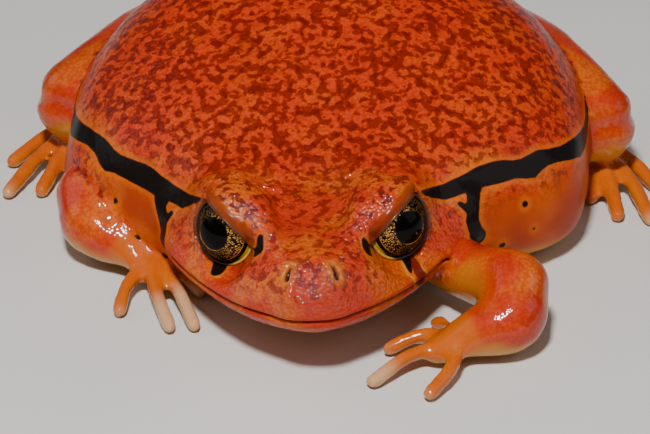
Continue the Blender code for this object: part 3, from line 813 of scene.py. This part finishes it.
def make_skin(settings):
    """The frog's skin: melted, smoothed, refined where it is finest, sculpted and marked."""
    mesh = melted_flesh(settings.mesh_size)
    mesh = thinned(mesh, smooth_flesh(mesh))
    for reaches in FINE_REACHES:
        refine(mesh, near_fine_shapes(read_places(mesh), **reaches))
    edges = read_edges(mesh)
    places = relaxed(read_places(mesh), edges, 1.0, 3, 0.5)
    write_places(mesh, places)

    head = to_head(places)
    push = np.zeros(len(places))
    away = distances_to_parts(places)
    sculpt_mouth(head, push, away["face"])
    sculpt_nostrils(head, push)
    sculpt_lid_folds(head, push)
    sculpt_creases(push, away)
    tree = trunk_tree(mesh, places, away)
    sculpt_neck_folds(head, push, tree)
    rough = 1 - 0.6 * (1 - step(head[:, 1], *NAPE))
    for height, size, seed in LUMPS:
        push += height * lumps(places, size, seed) * rough
    paint_markings(mesh, places, away, tree)
    places += read_normals(mesh) * push[:, None]
    places = sculpt_eye_openings(places, edges)
    places[:, 2] = np.maximum(places[:, 2], 0.0)
    write_places(mesh, places)
    skin = add_piece("frog_skin", mesh, moist_skin(settings))
    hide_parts(*FLESH)
    return skin


def add_node(tree, kind, settings=None, links=None):
    """Adds a node with its properties, and with a value or another node's output on each input."""
    node = tree.nodes.new(kind)
    for name, value in (settings or {}).items():
        setattr(node, name, value)
    for socket, source in (links or {}).items():
        if isinstance(source, bpy.types.NodeSocket):
            tree.links.new(source, node.inputs[socket])
        else:
            node.inputs[socket].default_value = source
    return node.outputs


def new_material(name, stored=()):
    """A material with its node tree, its shader, and the named numbers stored on the mesh."""
    material = bpy.data.materials.new(name)
    material.use_nodes = True
    tree = material.node_tree
    values = {}
    for field in stored:
        values[field] = add_node(tree, "ShaderNodeAttribute", {"attribute_name": field})["Fac"]
    return material, tree, tree.nodes["Principled BSDF"], values


MIX_FACTOR, MIX_A, MIX_B, MIX_RESULT = 0, 6, 7, 2
SOFT = {"interpolation_type": "SMOOTHSTEP"}


def add_pattern(tree, values, colour, layers, masks=(), products=()):
    """Builds a material's colour from tables, and gives the output that has it.

    Each mask follows a value softly from one number to another, and has a share at each end. Each
    product is two masks multiplied. Each layer is a colour that lies over those before it, where its
    mask lets it.
    """
    for name, follows, low, high, start, end in masks:
        limits = {"From Min": low, "From Max": high, "To Min": start, "To Max": end}
        values[name] = add_node(tree, "ShaderNodeMapRange", SOFT, {"Value": values[follows], **limits})[0]
    for name, one, other in products:
        pair = {0: values[one], 1: values[other]}
        values[name] = add_node(tree, "ShaderNodeMath", {"operation": "MULTIPLY"}, pair)[0]
    for mask, layer in layers:
        parts = {MIX_FACTOR: values[mask], MIX_A: colour, MIX_B: layer}
        colour = add_node(tree, "ShaderNodeMix", {"data_type": "RGBA"}, parts)[MIX_RESULT]
    return colour


def moist_skin(settings):
    """Living amphibian skin: soft, glandular and kept wet by its own slime.

    To the eye it is a saturated, faintly translucent orange with blurred dark red spots, under a thin
    film of water that breaks every light up into fine white sparkles on the skin's grains.
    """
    stored = (
        "black", "rust", "gilt", "pit", "mouth", "front_of_mouth", "pale", "digits", "tips", "spotted",
        "flank", "inner", "outer", "band", "lid_shade", "rim", "mottled", "grainy", "wet",
    )
    material, tree, shader, values = new_material("moist_amphibian_skin", stored)
    place = add_node(tree, "ShaderNodeTexCoord")["Object"]
    # edges are made ragged by up to 0.7 mm, in a pattern of about 2 mm
    sway = add_node(tree, "ShaderNodeTexNoise", None, {"Vector": place, "Scale": 0.5 / MM, "Detail": 3.0})
    warp = add_node(
        tree,
        "ShaderNodeVectorMath",
        {"operation": "MULTIPLY_ADD"},
        {0: sway["Color"], 1: (0.7 * MM, 0.7 * MM, 0.7 * MM), 2: place},
    )["Vector"]
    # close-set soft spots, ragged blots of about a millimetre, patches of 6 mm and shades of 14 mm
    for name, scale, detail in (
        ("dotty", 1 / settings.spot_size, 0.4),
        ("fine", 1 / settings.blot_size, 4.0),
        ("patchy", 0.16 / MM, 3.0),
        ("broad", 0.07 / MM, 2.0),
    ):
        values[name] = add_node(
            tree, "ShaderNodeTexNoise", None, {"Vector": warp, "Scale": scale, "Detail": detail}
        )["Fac"]
    # real grains are 0.1 to 0.4 mm across: drawn 0.5 mm apart, because finer ones wouldn't show
    values["grains"] = add_node(
        tree,
        "ShaderNodeTexVoronoi",
        {"feature": "F1"},
        {"Vector": place, "Scale": 1 / settings.grain_size},
    )["Distance"]

    masks = (
        ("glow", "patchy", 0.42, 0.6, 0.0, 0.9),
        ("back_red", "spotted", 0.0, 1.0, 0.0, 0.75),
        ("redder", "broad", 0.45, 0.62, 0.0, 0.25),
        ("mottle", "fine", 0.5, 0.68, 0.0, 0.12),
        ("grain_gaps", "grains", 0.3, 0.75, 0.0, 0.4),
        ("blot_shape", "fine", 0.5, 0.57, 0.0, 0.9),
        ("spot_shape", "dotty", 0.51, 0.62, 0.0, 0.8),
        ("flank_orange", "flank", 0.0, 1.0, 0.0, 0.75),
        ("flank_blush", "broad", 0.5, 0.62, 0.0, 0.55),
        ("outer_red", "outer", 0.0, 1.0, 0.0, 0.45),
        ("inner_yellow", "inner", 0.0, 1.0, 0.0, 0.6),
        ("digit_orange", "digits", 0.0, 1.0, 0.0, 0.7),
        ("digit_tip", "tips", 0.0, 1.0, 0.0, 0.75),
        ("stripe_edge", "black", 0.2, 1.1, 0.55, 0.0),
        ("nostril_rim", "pit", 0.1, 1.6, 0.35, 0.0),
        ("lid_band", "band", 0.0, 1.0, 0.0, 0.8),
        ("rim_outside", "rim", 0.5, 1.1, 0.6, 0.0),
        ("rim_line_in", "rim", 0.3, 0.4, 0.0, 1.0),
        ("rim_line_out", "rim", 0.46, 0.56, 1.0, 0.0),
        ("border", "gilt", -0.05, 0.16, 0.85, 0.0),
        ("rust_strip", "rust", -0.12, 0.12, 1.0, 0.0),
        ("stripe", "black", -0.06, 0.12, 1.0, 0.0),
        # painted shade: the nostrils' pits are painted brown-black inside the openings
        ("nostril", "pit", -0.08, 0.16, 1.0, 0.0),
        ("mouth_dark", "mouth", 0.05, 0.22, 1.0, 0.0),
        ("mouth_open", "front_of_mouth", 0.0, 1.0, 1.0, 0.35),
    )
    products = (
        ("blots", "blot_shape", "mottled"),
        ("spots", "spot_shape", "spotted"),
        ("flank_red", "flank_blush", "flank"),
        ("rim_line", "rim_line_in", "rim_line_out"),
        ("mouth_line", "mouth_dark", "mouth_open"),
    )
    layers = (
        ("glow", settings.glow),
        ("back_red", settings.back),
        ("redder", settings.mottling),
        ("mottle", settings.mottling),
        ("grain_gaps", settings.mottling),
        ("blots", settings.spots),
        ("spots", settings.spots),
        ("flank_orange", settings.flank),
        ("flank_red", settings.mottling),
        ("outer_red", settings.mottling),
        ("inner_yellow", settings.belly),
        ("digit_orange", settings.digits),
        ("pale", settings.belly),
        ("digit_tip", settings.tips),
        ("stripe_edge", settings.edges),
        ("nostril_rim", settings.nostril_rims),
        ("lid_band", settings.lid_band),
        ("rim_outside", settings.edges),
        ("rim_line", settings.stripe),
        ("border", settings.nostril_rims),
        ("rust_strip", settings.rust),
        # painted shade where the lower lid's outer end meets the eyeball
        ("lid_shade", settings.lid_shade),
        ("stripe", settings.stripe),
        # painted shade inside the nostrils' pits
        ("nostril", settings.stripe),
        ("mouth_line", settings.stripe),
    )
    colour = add_pattern(tree, values, settings.back, layers, masks, products)
    tree.links.new(colour, shader.inputs["Base Color"])

    # rounded grains on folds of about a millimetre, deeper in the film of water than in the skin
    folds = add_node(tree, "ShaderNodeTexNoise", None, {"Vector": place, "Scale": 0.9 / MM, "Detail": 1.0})
    rounded = add_node(tree, "ShaderNodeMath", {"operation": "POWER"}, {0: values["grains"], 1: 2.0})[0]
    relief = add_node(
        tree, "ShaderNodeMath", {"operation": "MULTIPLY_ADD"}, {0: folds["Fac"], 1: 0.6, 2: rounded}
    )[0]
    for socket, depth in (("Normal", 0.12), ("Coat Normal", 0.2)):
        bump = add_node(
            tree,
            "ShaderNodeBump",
            {"invert": True},
            {"Height": relief, "Strength": values["grainy"], "Distance": depth * MM},
        )["Normal"]
        tree.links.new(bump, shader.inputs[socket])
    shader.inputs["Roughness"].default_value = 0.55
    shader.inputs["IOR"].default_value = 1.4
    shader.inputs["Specular IOR Level"].default_value = 0.15
    tree.links.new(values["wet"], shader.inputs["Coat Weight"])
    shader.inputs["Coat Roughness"].default_value = 0.07
    shader.inputs["Coat IOR"].default_value = 1.5
    shader.inputs["Subsurface Weight"].default_value = 0.1
    shader.inputs["Subsurface Radius"].default_value = (1.0, 0.3, 0.1)
    shader.inputs["Subsurface Scale"].default_value = 0.7 * MM
    return material


def make_eye(side_name, settings):
    """One eyeball, its front swollen into the cornea, with the line of sight through its pole."""
    side = SIDES[side_name]
    centre = eye_box_centre(side_name)
    sight, cover = (HEAD_TURN @ axis for axis in eye_axes(side)[1:])
    work = bmesh.new()
    bmesh.ops.create_uvsphere(work, u_segments=96, v_segments=72, radius=EYE_RADIUS)
    for vert in work.verts:
        off_axis = math.degrees(math.acos(max(-1, min(1, vert.co.z / EYE_RADIUS))))
        vert.co *= 1 + CORNEA_HEIGHT * (1 - float(step(off_axis, 0, CORNEA_ANGLE))) / EYE_RADIUS
    turn = Vector(sight).to_track_quat("Z", "Y").to_matrix().to_4x4()
    bmesh.ops.transform(work, matrix=Matrix.Translation(Vector(centre)) @ turn, verts=work.verts)
    bmesh.ops.scale(work, vec=(MM, MM, MM), verts=work.verts)
    mesh = finished(work, f"eyeball_{side_name}")
    aim = read_places(mesh) - centre
    aim /= np.linalg.norm(aim, axis=1)[:, None]
    corner = unit(to_body(mirrored(CANTHUS, side)) - centre)
    off_axis = np.arccos(np.clip(aim @ sight, -1, 1))
    sideways = aim - (aim @ sight)[:, None] * sight
    sideways /= np.maximum(np.linalg.norm(sideways, axis=1), 1e-6)[:, None]
    across = unit(np.cross(cover, sight))
    fields = {
        "off_axis": np.degrees(off_axis),
        "from_corner": np.degrees(np.arccos(np.clip(aim @ corner, -1, 1))),
        "under_lid": np.degrees(np.arcsin(np.clip(aim @ cover, -1, 1))),
        "around_x": sideways @ across * VEIN_RADIUS,
        "around_y": sideways @ np.cross(sight, across) * VEIN_RADIUS,
        "outwards": off_axis * EYE_RADIUS * VEIN_STRETCH,
    }
    store(mesh, fields)
    eye = add_piece(f"eyeball_{side_name}", mesh, wet_eye(side_name, settings))
    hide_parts(f"eye_{side_name}")
    return eye


def wet_eye(side_name, settings):
    """A living eye: a clear, wet cornea over an iris of golden reflecting cells and black veins.

    To the eye it is black and very glossy, with a metallic gold net, painted lit under the lid and shaded
    below.
    """
    stored = ("off_axis", "from_corner", "under_lid", "around_x", "around_y", "outwards")
    material, tree, shader, values = new_material(f"wet_eye_{side_name}", stored)
    # the veins' pattern is laid out in millimetres on a tube round the line of sight
    spread = add_node(
        tree,
        "ShaderNodeCombineXYZ",
        None,
        {"X": values["around_x"], "Y": values["around_y"], "Z": values["outwards"]},
    )["Vector"]
    sway = add_node(tree, "ShaderNodeTexNoise", None, {"Vector": spread, "Scale": 1.6, "Detail": 3.0})
    warp = add_node(
        tree,
        "ShaderNodeVectorMath",
        {"operation": "MULTIPLY_ADD"},
        {0: sway["Color"], 1: (0.5, 0.5, 0.5), 2: spread},
    )["Vector"]
    cells = add_node(
        tree,
        "ShaderNodeTexVoronoi",
        {"feature": "DISTANCE_TO_EDGE"},
        {"Vector": warp, "Scale": MM / settings.vein_spacing},
    )["Distance"]
    dense = add_node(tree, "ShaderNodeTexNoise", None, {"Vector": spread, "Scale": 3.2, "Detail": 2.0})
    values["dense"] = dense["Fac"]
    values["cell_reach"] = add_node(
        tree, "ShaderNodeMath", {"operation": "MULTIPLY_ADD"}, {0: values["dense"], 1: -0.4, 2: cells}
    )[0]
    # angles in degrees, from the line of sight, the eye's front corner or the upper lid's edge
    masks = (
        ("gold", "cell_reach", -0.05, 0.03, 0.0, 1.0),
        # painted light and shade: the gold is lit under the upper lid and shaded to olive brown below
        ("lit", "under_lid", -58.0, -14.0, 0.0, 1.0),
        ("far_side", "from_corner", 76.0, 92.0, 0.0, 0.85),
        ("pupil", "off_axis", 25.8, 27.0, 1.0, 0.0),
        ("ring_in", "off_axis", 26.4, 27.2, 0.0, 1.0),
        ("ring_out", "off_axis", 27.6, 28.8, 0.9, 0.0),
        ("ring_broken", "dense", 0.38, 0.5, 0.15, 1.0),
        ("ring_low", "under_lid", -52.0, -38.0, 1.0, 0.0),
        ("iris_edge_in", "off_axis", 51.6, 52.4, 0.0, 0.55),
        ("iris_edge_out", "off_axis", 53.0, 54.0, 1.0, 0.0),
        ("limbus", "off_axis", 53.0, 54.2, 0.0, 1.0),
        ("beyond_limbus", "off_axis", 60.0, 61.4, 0.0, 1.0),
        ("near_corner", "from_corner", 20.0, 34.0, 1.0, 0.0),
        ("lid_shadow", "under_lid", -9.0, 0.0, 0.0, 0.75),
    )
    products = (
        ("ring_band", "ring_in", "ring_out"),
        ("ring_part", "ring_band", "ring_broken"),
        ("ring", "ring_part", "ring_low"),
        ("iris_edge", "iris_edge_in", "iris_edge_out"),
        ("crescent", "beyond_limbus", "near_corner"),
    )
    # the gold's painted light and shade: lit gold under the upper lid, shaded olive brown lower down
    gold = add_pattern(tree, values, settings.iris_shade, (("lit", settings.iris),), masks, products)
    layers = (
        ("gold", gold),
        ("iris_edge", gold),
        ("far_side", settings.pupil),
        ("pupil", settings.pupil),
        ("ring", settings.iris),
        ("limbus", settings.pupil),
        ("crescent", settings.corner),
        ("lid_shadow", settings.pupil),
    )
    tree.links.new(add_pattern(tree, values, settings.pupil, layers), shader.inputs["Base Color"])
    shader.inputs["Roughness"].default_value = 0.45
    shader.inputs["Specular IOR Level"].default_value = 0.0
    shader.inputs["Coat Weight"].default_value = 0.35
    shader.inputs["Coat Roughness"].default_value = 0.03
    shader.inputs["Coat IOR"].default_value = 1.36
    return material


def rim_path(side, lift):
    """Points along the edge of an eye's opening, in the body's frame.

    Also gives, for each point, whether it is on the upper lid, and how far it is from the front corner.
    """
    centre, sight, cover = eye_axes(side)
    across = unit(np.cross(cover, sight))
    up = np.cross(sight, across)
    limit = math.radians(LOWER_LID_ANGLE - 1.5)
    points, covered = [], []
    for k in range(RIM_POINTS):
        turn = 2 * math.pi * k / RIM_POINTS
        outward = across * math.cos(turn) + up * math.sin(turn)
        rise = outward @ cover
        lid = math.atan2(-(sight @ cover), rise) if rise > 1e-6 else math.pi
        off = min(limit, lid)
        aim = sight * math.cos(off) + outward * math.sin(off)
        points.append(to_body(centre + aim * (EYE_RADIUS + lift)))
        covered.append(1.0 if lid < limit else 0.0)
    corner = to_body(np.array(mirrored(CANTHUS, side)))
    from_corner = [float(np.linalg.norm(p - corner)) for p in points]
    return np.array(points), np.array(covered), np.array(from_corner)


def make_lid_rim(side_name, settings):
    """The moist edge of the lids: a thin roll, yellow along the front of the lower lid, painted dark behind
    as shade.
    """
    side = SIDES[side_name]
    points, covered, from_corner = rim_path(side, RIM_LIFT)
    for _ in range(3):
        points = (np.roll(points, 1, 0) + 2 * points + np.roll(points, -1, 0)) / 4
        covered = (np.roll(covered, 1) + 2 * covered + np.roll(covered, -1)) / 4
    curve = bpy.data.curves.new(f"lid_rim_{side_name}", "CURVE")
    curve.dimensions = "3D"
    curve.bevel_depth = settings.rim_radius
    curve.bevel_resolution = 3
    line = curve.splines.new("POLY")
    line.points.add(len(points) - 1)
    line.use_cyclic_u = True
    for point, place, share in zip(line.points, points, covered):
        point.co = (*(place * MM), 1)
        point.radius = 1.0 - 0.35 * share
    guide = add_object("lid_rim_guide", curve)
    mesh = bpy.data.meshes.new_from_object(guide)
    bpy.data.objects.remove(guide)
    nearest = [int(np.argmin(np.linalg.norm(points - p, axis=1))) for p in read_places(mesh)]
    store(mesh, {"covered": covered[nearest], "from_corner": from_corner[nearest]})
    return add_piece(f"lid_rim_{side_name}", mesh, lid_edge(settings))


def lid_edge(settings):
    """The hairless wet margin of an eyelid: smooth, thin and always wet, so it draws a bright line."""
    material, tree, shader, values = new_material("moist_lid_edge", ("covered", "from_corner"))
    place = add_node(tree, "ShaderNodeTexCoord")["Object"]
    # brown specks of about 0.4 mm
    specks = add_node(tree, "ShaderNodeTexNoise", None, {"Vector": place, "Scale": 2.5 / MM, "Detail": 3.0})
    values["specks"] = specks["Fac"]
    masks = (
        ("dirty", "specks", 0.5, 0.7, 0.0, 0.6),
        ("behind", "from_corner", RIM_LENGTH - 1.2, RIM_LENGTH, 0.0, 1.0),
    )
    layers = (
        ("dirty", settings.iris_shade),
        # painted shade: the lower rim's outer part is dark red-brown
        ("behind", settings.rim_shade_behind),
        # partly painted reflection: the upper margin's own brown, greyed to stand for the sheen along the
        # lid's edge
        ("covered", settings.rim_above_sheen),
    )
    tree.links.new(add_pattern(tree, values, settings.corner, layers, masks), shader.inputs["Base Color"])
    shader.inputs["Roughness"].default_value = 0.35
    shader.inputs["Coat Weight"].default_value = 0.5
    shader.inputs["Coat Roughness"].default_value = 0.08
    return material


def matt_floor(settings):
    """Painted board, rolled on by hand: dead matt, pale, and very faintly uneven in tone."""
    material, tree, shader, values = new_material("matt_painted_board")
    place = add_node(tree, "ShaderNodeTexCoord")["Object"]
    # tones about 40 mm across
    links = {"Vector": place, "Scale": 0.025 / MM, "Detail": 2.0}
    values["uneven"] = add_node(tree, "ShaderNodeTexNoise", None, links)["Fac"]
    colour = add_pattern(tree, values, settings.floor, (("uneven", settings.floor_shade),))
    tree.links.new(colour, shader.inputs["Base Color"])
    shader.inputs["Roughness"].default_value = 0.85
    return material


def view_axes(settings):
    """The camera's right, up and back directions."""
    turn, rise = settings.azimuth, settings.elevation
    back = np.array(
        (math.sin(turn) * math.cos(rise), -math.cos(turn) * math.cos(rise), math.sin(rise))
    )
    right = np.array((math.cos(turn), math.sin(turn), 0))
    return right, np.cross(back, right), back


def make_camera(settings):
    """A long lens close to the frog, looking down on its face."""
    right, up, back = view_axes(settings)
    distance = settings.distance / MM
    focal = PIXELS_PER_MM * distance
    aside = (MOUTH_PIXEL[0] - PICTURE_WIDTH / 2) / focal
    above = (PICTURE_HEIGHT / 2 - MOUTH_PIXEL[1]) / focal
    place = HEAD_ORIGIN - distance * (-back + right * aside + up * above)
    lens = bpy.data.cameras.new("camera")
    lens.sensor_width = SENSOR_WIDTH
    lens.lens = focal / PICTURE_WIDTH * SENSOR_WIDTH
    lens.clip_start = 0.01
    camera = add_object("camera", lens)
    axes = np.array((right, up, back)).T
    camera.matrix_world = Matrix.Translation(Vector(place * MM)) @ Matrix(axes.tolist()).to_4x4()
    bpy.context.scene.camera = camera


def make_lamp(name, place, size, watts):
    """A square soft box that faces the frog."""
    light = bpy.data.lights.new(name, "AREA")
    light.shape = "SQUARE"
    light.size = size * MM
    light.energy = watts
    lamp = add_object(name, light)
    towards = Vector(LIT_PLACE) - Vector(place)
    lamp.rotation_euler = towards.to_track_quat("-Z", "Y").to_euler()
    lamp.location = Vector(place) * MM


def make_floor(settings):
    work = bmesh.new()
    bmesh.ops.create_grid(work, x_segments=1, y_segments=1, size=FLOOR_REACH * MM)
    mesh = finished(work, "floor")
    mesh.materials.append(matt_floor(settings))
    add_object("floor", mesh)


def make_world(settings):
    world = bpy.data.worlds.new("soft_room")
    world.use_nodes = True
    background = world.node_tree.nodes["Background"]
    background.inputs["Color"].default_value = ROOM_COLOUR
    background.inputs["Strength"].default_value = settings.room_light
    bpy.context.scene.world = world


def length_property(name, description, millimetres, low):
    return bpy.props.FloatProperty(
        name=name,
        description=description,
        default=millimetres * MM,
        min=low * MM,
        precision=5,
        unit="LENGTH",
    )


def colour_property(name, description, hex_colour):
    return bpy.props.FloatVectorProperty(
        name=name,
        description=description,
        default=linear_colour(hex_colour),
        size=4,
        min=0,
        max=1,
        subtype="COLOR",
    )


class FrogSkinSettings(bpy.types.PropertyGroup):
    """Sizes and colours of the skin"""

    mesh_size: length_property("Mesh size", "Edge of the skin's faces, before any are split", 0.45, 0.3)
    spot_size: length_property("Spot spacing", "Spacing of the dark red spots on the back", 1.15, 0.5)
    blot_size: length_property("Blot size", "Size of the ragged red blots on the head", 1.1, 0.3)
    grain_size: length_property("Grain size", "Spacing of the skin's grains", 0.5, 0.1)
    back: colour_property("Back", "Orange-red of the back and head", "C43200")
    glow: colour_property("Lighter back", "Yellower orange in patches", "D26000")
    mottling: colour_property("Mottling", "Red between the spots and on the outer arm", "8E1400")
    spots: colour_property("Spots", "Dark red spots and blots", "640600")
    flank: colour_property("Flank", "Plain orange below the side stripe", "B64800")
    belly: colour_property("Belly", "Yellow-orange underside and inner arm", "C8861A")
    digits: colour_property("Digits", "Orange-yellow of the fingers and toes", "C86208")
    tips: colour_property("Digit tips", "Yellowish white ends of the digits", "CDA87C")
    edges: colour_property("Marking edges", "Orange along the dark markings and the lower lid", "CC6000")
    nostril_rims: colour_property("Nostril rims", "Dull yellow round the nostrils and the strip", "C88018")
    lid_band: colour_property("Upper lid's edge", "Smooth brown-orange band along the upper lid", "7A2C04")
    # painted shade at the lower lid's outer end, where it meets the eyeball
    lid_shade: colour_property("Outer lid", "Dark red-brown of the outer end of the lower lid", "3A0E04")
    rust: colour_property("Rust strip", "Red-brown strip below the eye", "6A1404")
    stripe: colour_property("Stripe", "Brown-black side stripe and patches", "0E0604")


class FrogEyeSettings(bpy.types.PropertyGroup):
    """Sizes and colours of the eyes and lids"""

    vein_spacing: length_property("Vein spacing", "Spacing of the iris's black veins", 0.2, 0.1)
    rim_radius: length_property("Rim radius", "Thickness of the roll along the lids' edges", 0.19, 0.1)
    pupil: colour_property("Pupil", "Black of the pupil and veins", "060403")
    # painted light and shade: the iris is lit gold under the upper lid and shaded olive brown below it
    iris: colour_property("Iris", "Gold of the iris under the upper lid", "DC9C48")
    iris_shade: colour_property("Lower iris", "Olive brown of the lower iris", "5E4416")
    corner: colour_property("Eye corner", "Yellow of the front corner and lower rim", "C49A2C")
    # partly painted reflection: the upper margin's brown, greyed for the sheen line along the lid's edge
    rim_above_sheen: colour_property("Upper rim", "Grey-brown of the upper lid's margin", "4A2818")
    # painted shade along the lower rim's outer part
    rim_shade_behind: colour_property("Outer rim", "Dark red-brown of the lower lid's outer margin", "3A1206")


class FrogStageSettings(bpy.types.PropertyGroup):
    """The camera's place and the light"""

    azimuth: bpy.props.FloatProperty(
        name="Azimuth", description="Turn of the view", default=math.radians(5), subtype="ANGLE"
    )
    elevation: bpy.props.FloatProperty(
        name="Elevation", description="Height of the view", default=math.radians(29), subtype="ANGLE"
    )
    distance: length_property("Distance", "From the camera to the mouth", 380.0, 100.0)
    lamp_power: bpy.props.FloatProperty(
        name="Lamp", description="Power of the main lamp", default=3.4, min=0, unit="POWER"
    )
    room_light: bpy.props.FloatProperty(
        name="Room light", description="Strength of the even light all round", default=0.1, min=0
    )
    floor: colour_property("Floor", "Pale floor", "DCD8D2")
    floor_shade: colour_property("Floor's shade", "Slightly darker tone of the floor", "D0CCC6")


class FROG_OT_skin(bpy.types.Operator):
    """Make the skin that covers the whole body"""

    bl_idname = "frog.skin"
    bl_label = "Skin"

    def execute(self, context):
        make_skin(context.scene.frog_skin)
        return {"FINISHED"}


class FROG_OT_eyes(bpy.types.Operator):
    """Make both eyeballs"""

    bl_idname = "frog.eyes"
    bl_label = "Eyes"

    def execute(self, context):
        for side_name in SIDES:
            make_eye(side_name, context.scene.frog_eyes)
        return {"FINISHED"}


class FROG_OT_lids(bpy.types.Operator):
    """Make the rims of the eyelids"""

    bl_idname = "frog.lids"
    bl_label = "Lid rims"

    def execute(self, context):
        for side_name in SIDES:
            make_lid_rim(side_name, context.scene.frog_eyes)
        return {"FINISHED"}


class FROG_OT_stage(bpy.types.Operator):
    """Make the floor, the light and the camera"""

    bl_idname = "frog.stage"
    bl_label = "Stage"

    def execute(self, context):
        settings = context.scene.frog_stage
        make_camera(settings)
        make_floor(settings)
        make_world(settings)
        for name, (place, size, share) in LAMPS.items():
            make_lamp(name, place, size, settings.lamp_power * share)
        return {"FINISHED"}


class FROG_PT_panel(bpy.types.Panel):
    """Lists the pieces and their settings"""

    bl_idname = "FROG_PT_panel"
    bl_label = "Tomato frog"
    bl_space_type = "VIEW_3D"
    bl_region_type = "UI"
    bl_category = "Frog"

    def draw(self, context):
        groups = (
            (context.scene.frog_skin, (FROG_OT_skin,)),
            (context.scene.frog_eyes, (FROG_OT_eyes, FROG_OT_lids)),
            (context.scene.frog_stage, (FROG_OT_stage,)),
        )
        for settings, operators in groups:
            box = self.layout.box()
            for name in settings.__annotations__:
                box.prop(settings, name)
            for operator in operators:
                box.operator(operator.bl_idname)


CLASSES = (
    FrogSkinSettings,
    FrogEyeSettings,
    FrogStageSettings,
    FROG_OT_skin,
    FROG_OT_eyes,
    FROG_OT_lids,
    FROG_OT_stage,
    FROG_PT_panel,
)


def register():
    for cls in CLASSES:
        bpy.utils.register_class(cls)
    bpy.types.Scene.frog_skin = bpy.props.PointerProperty(type=FrogSkinSettings)
    bpy.types.Scene.frog_eyes = bpy.props.PointerProperty(type=FrogEyeSettings)
    bpy.types.Scene.frog_stage = bpy.props.PointerProperty(type=FrogStageSettings)


def unregister():
    del bpy.types.Scene.frog_skin
    del bpy.types.Scene.frog_eyes
    del bpy.types.Scene.frog_stage
    for cls in reversed(CLASSES):
        bpy.utils.unregister_class(cls)


def main():
    register()
    bpy.ops.frog.stage()
    bpy.ops.frog.skin()
    bpy.ops.frog.eyes()
    bpy.ops.frog.lids()


if __name__ == "__main__":
    main()
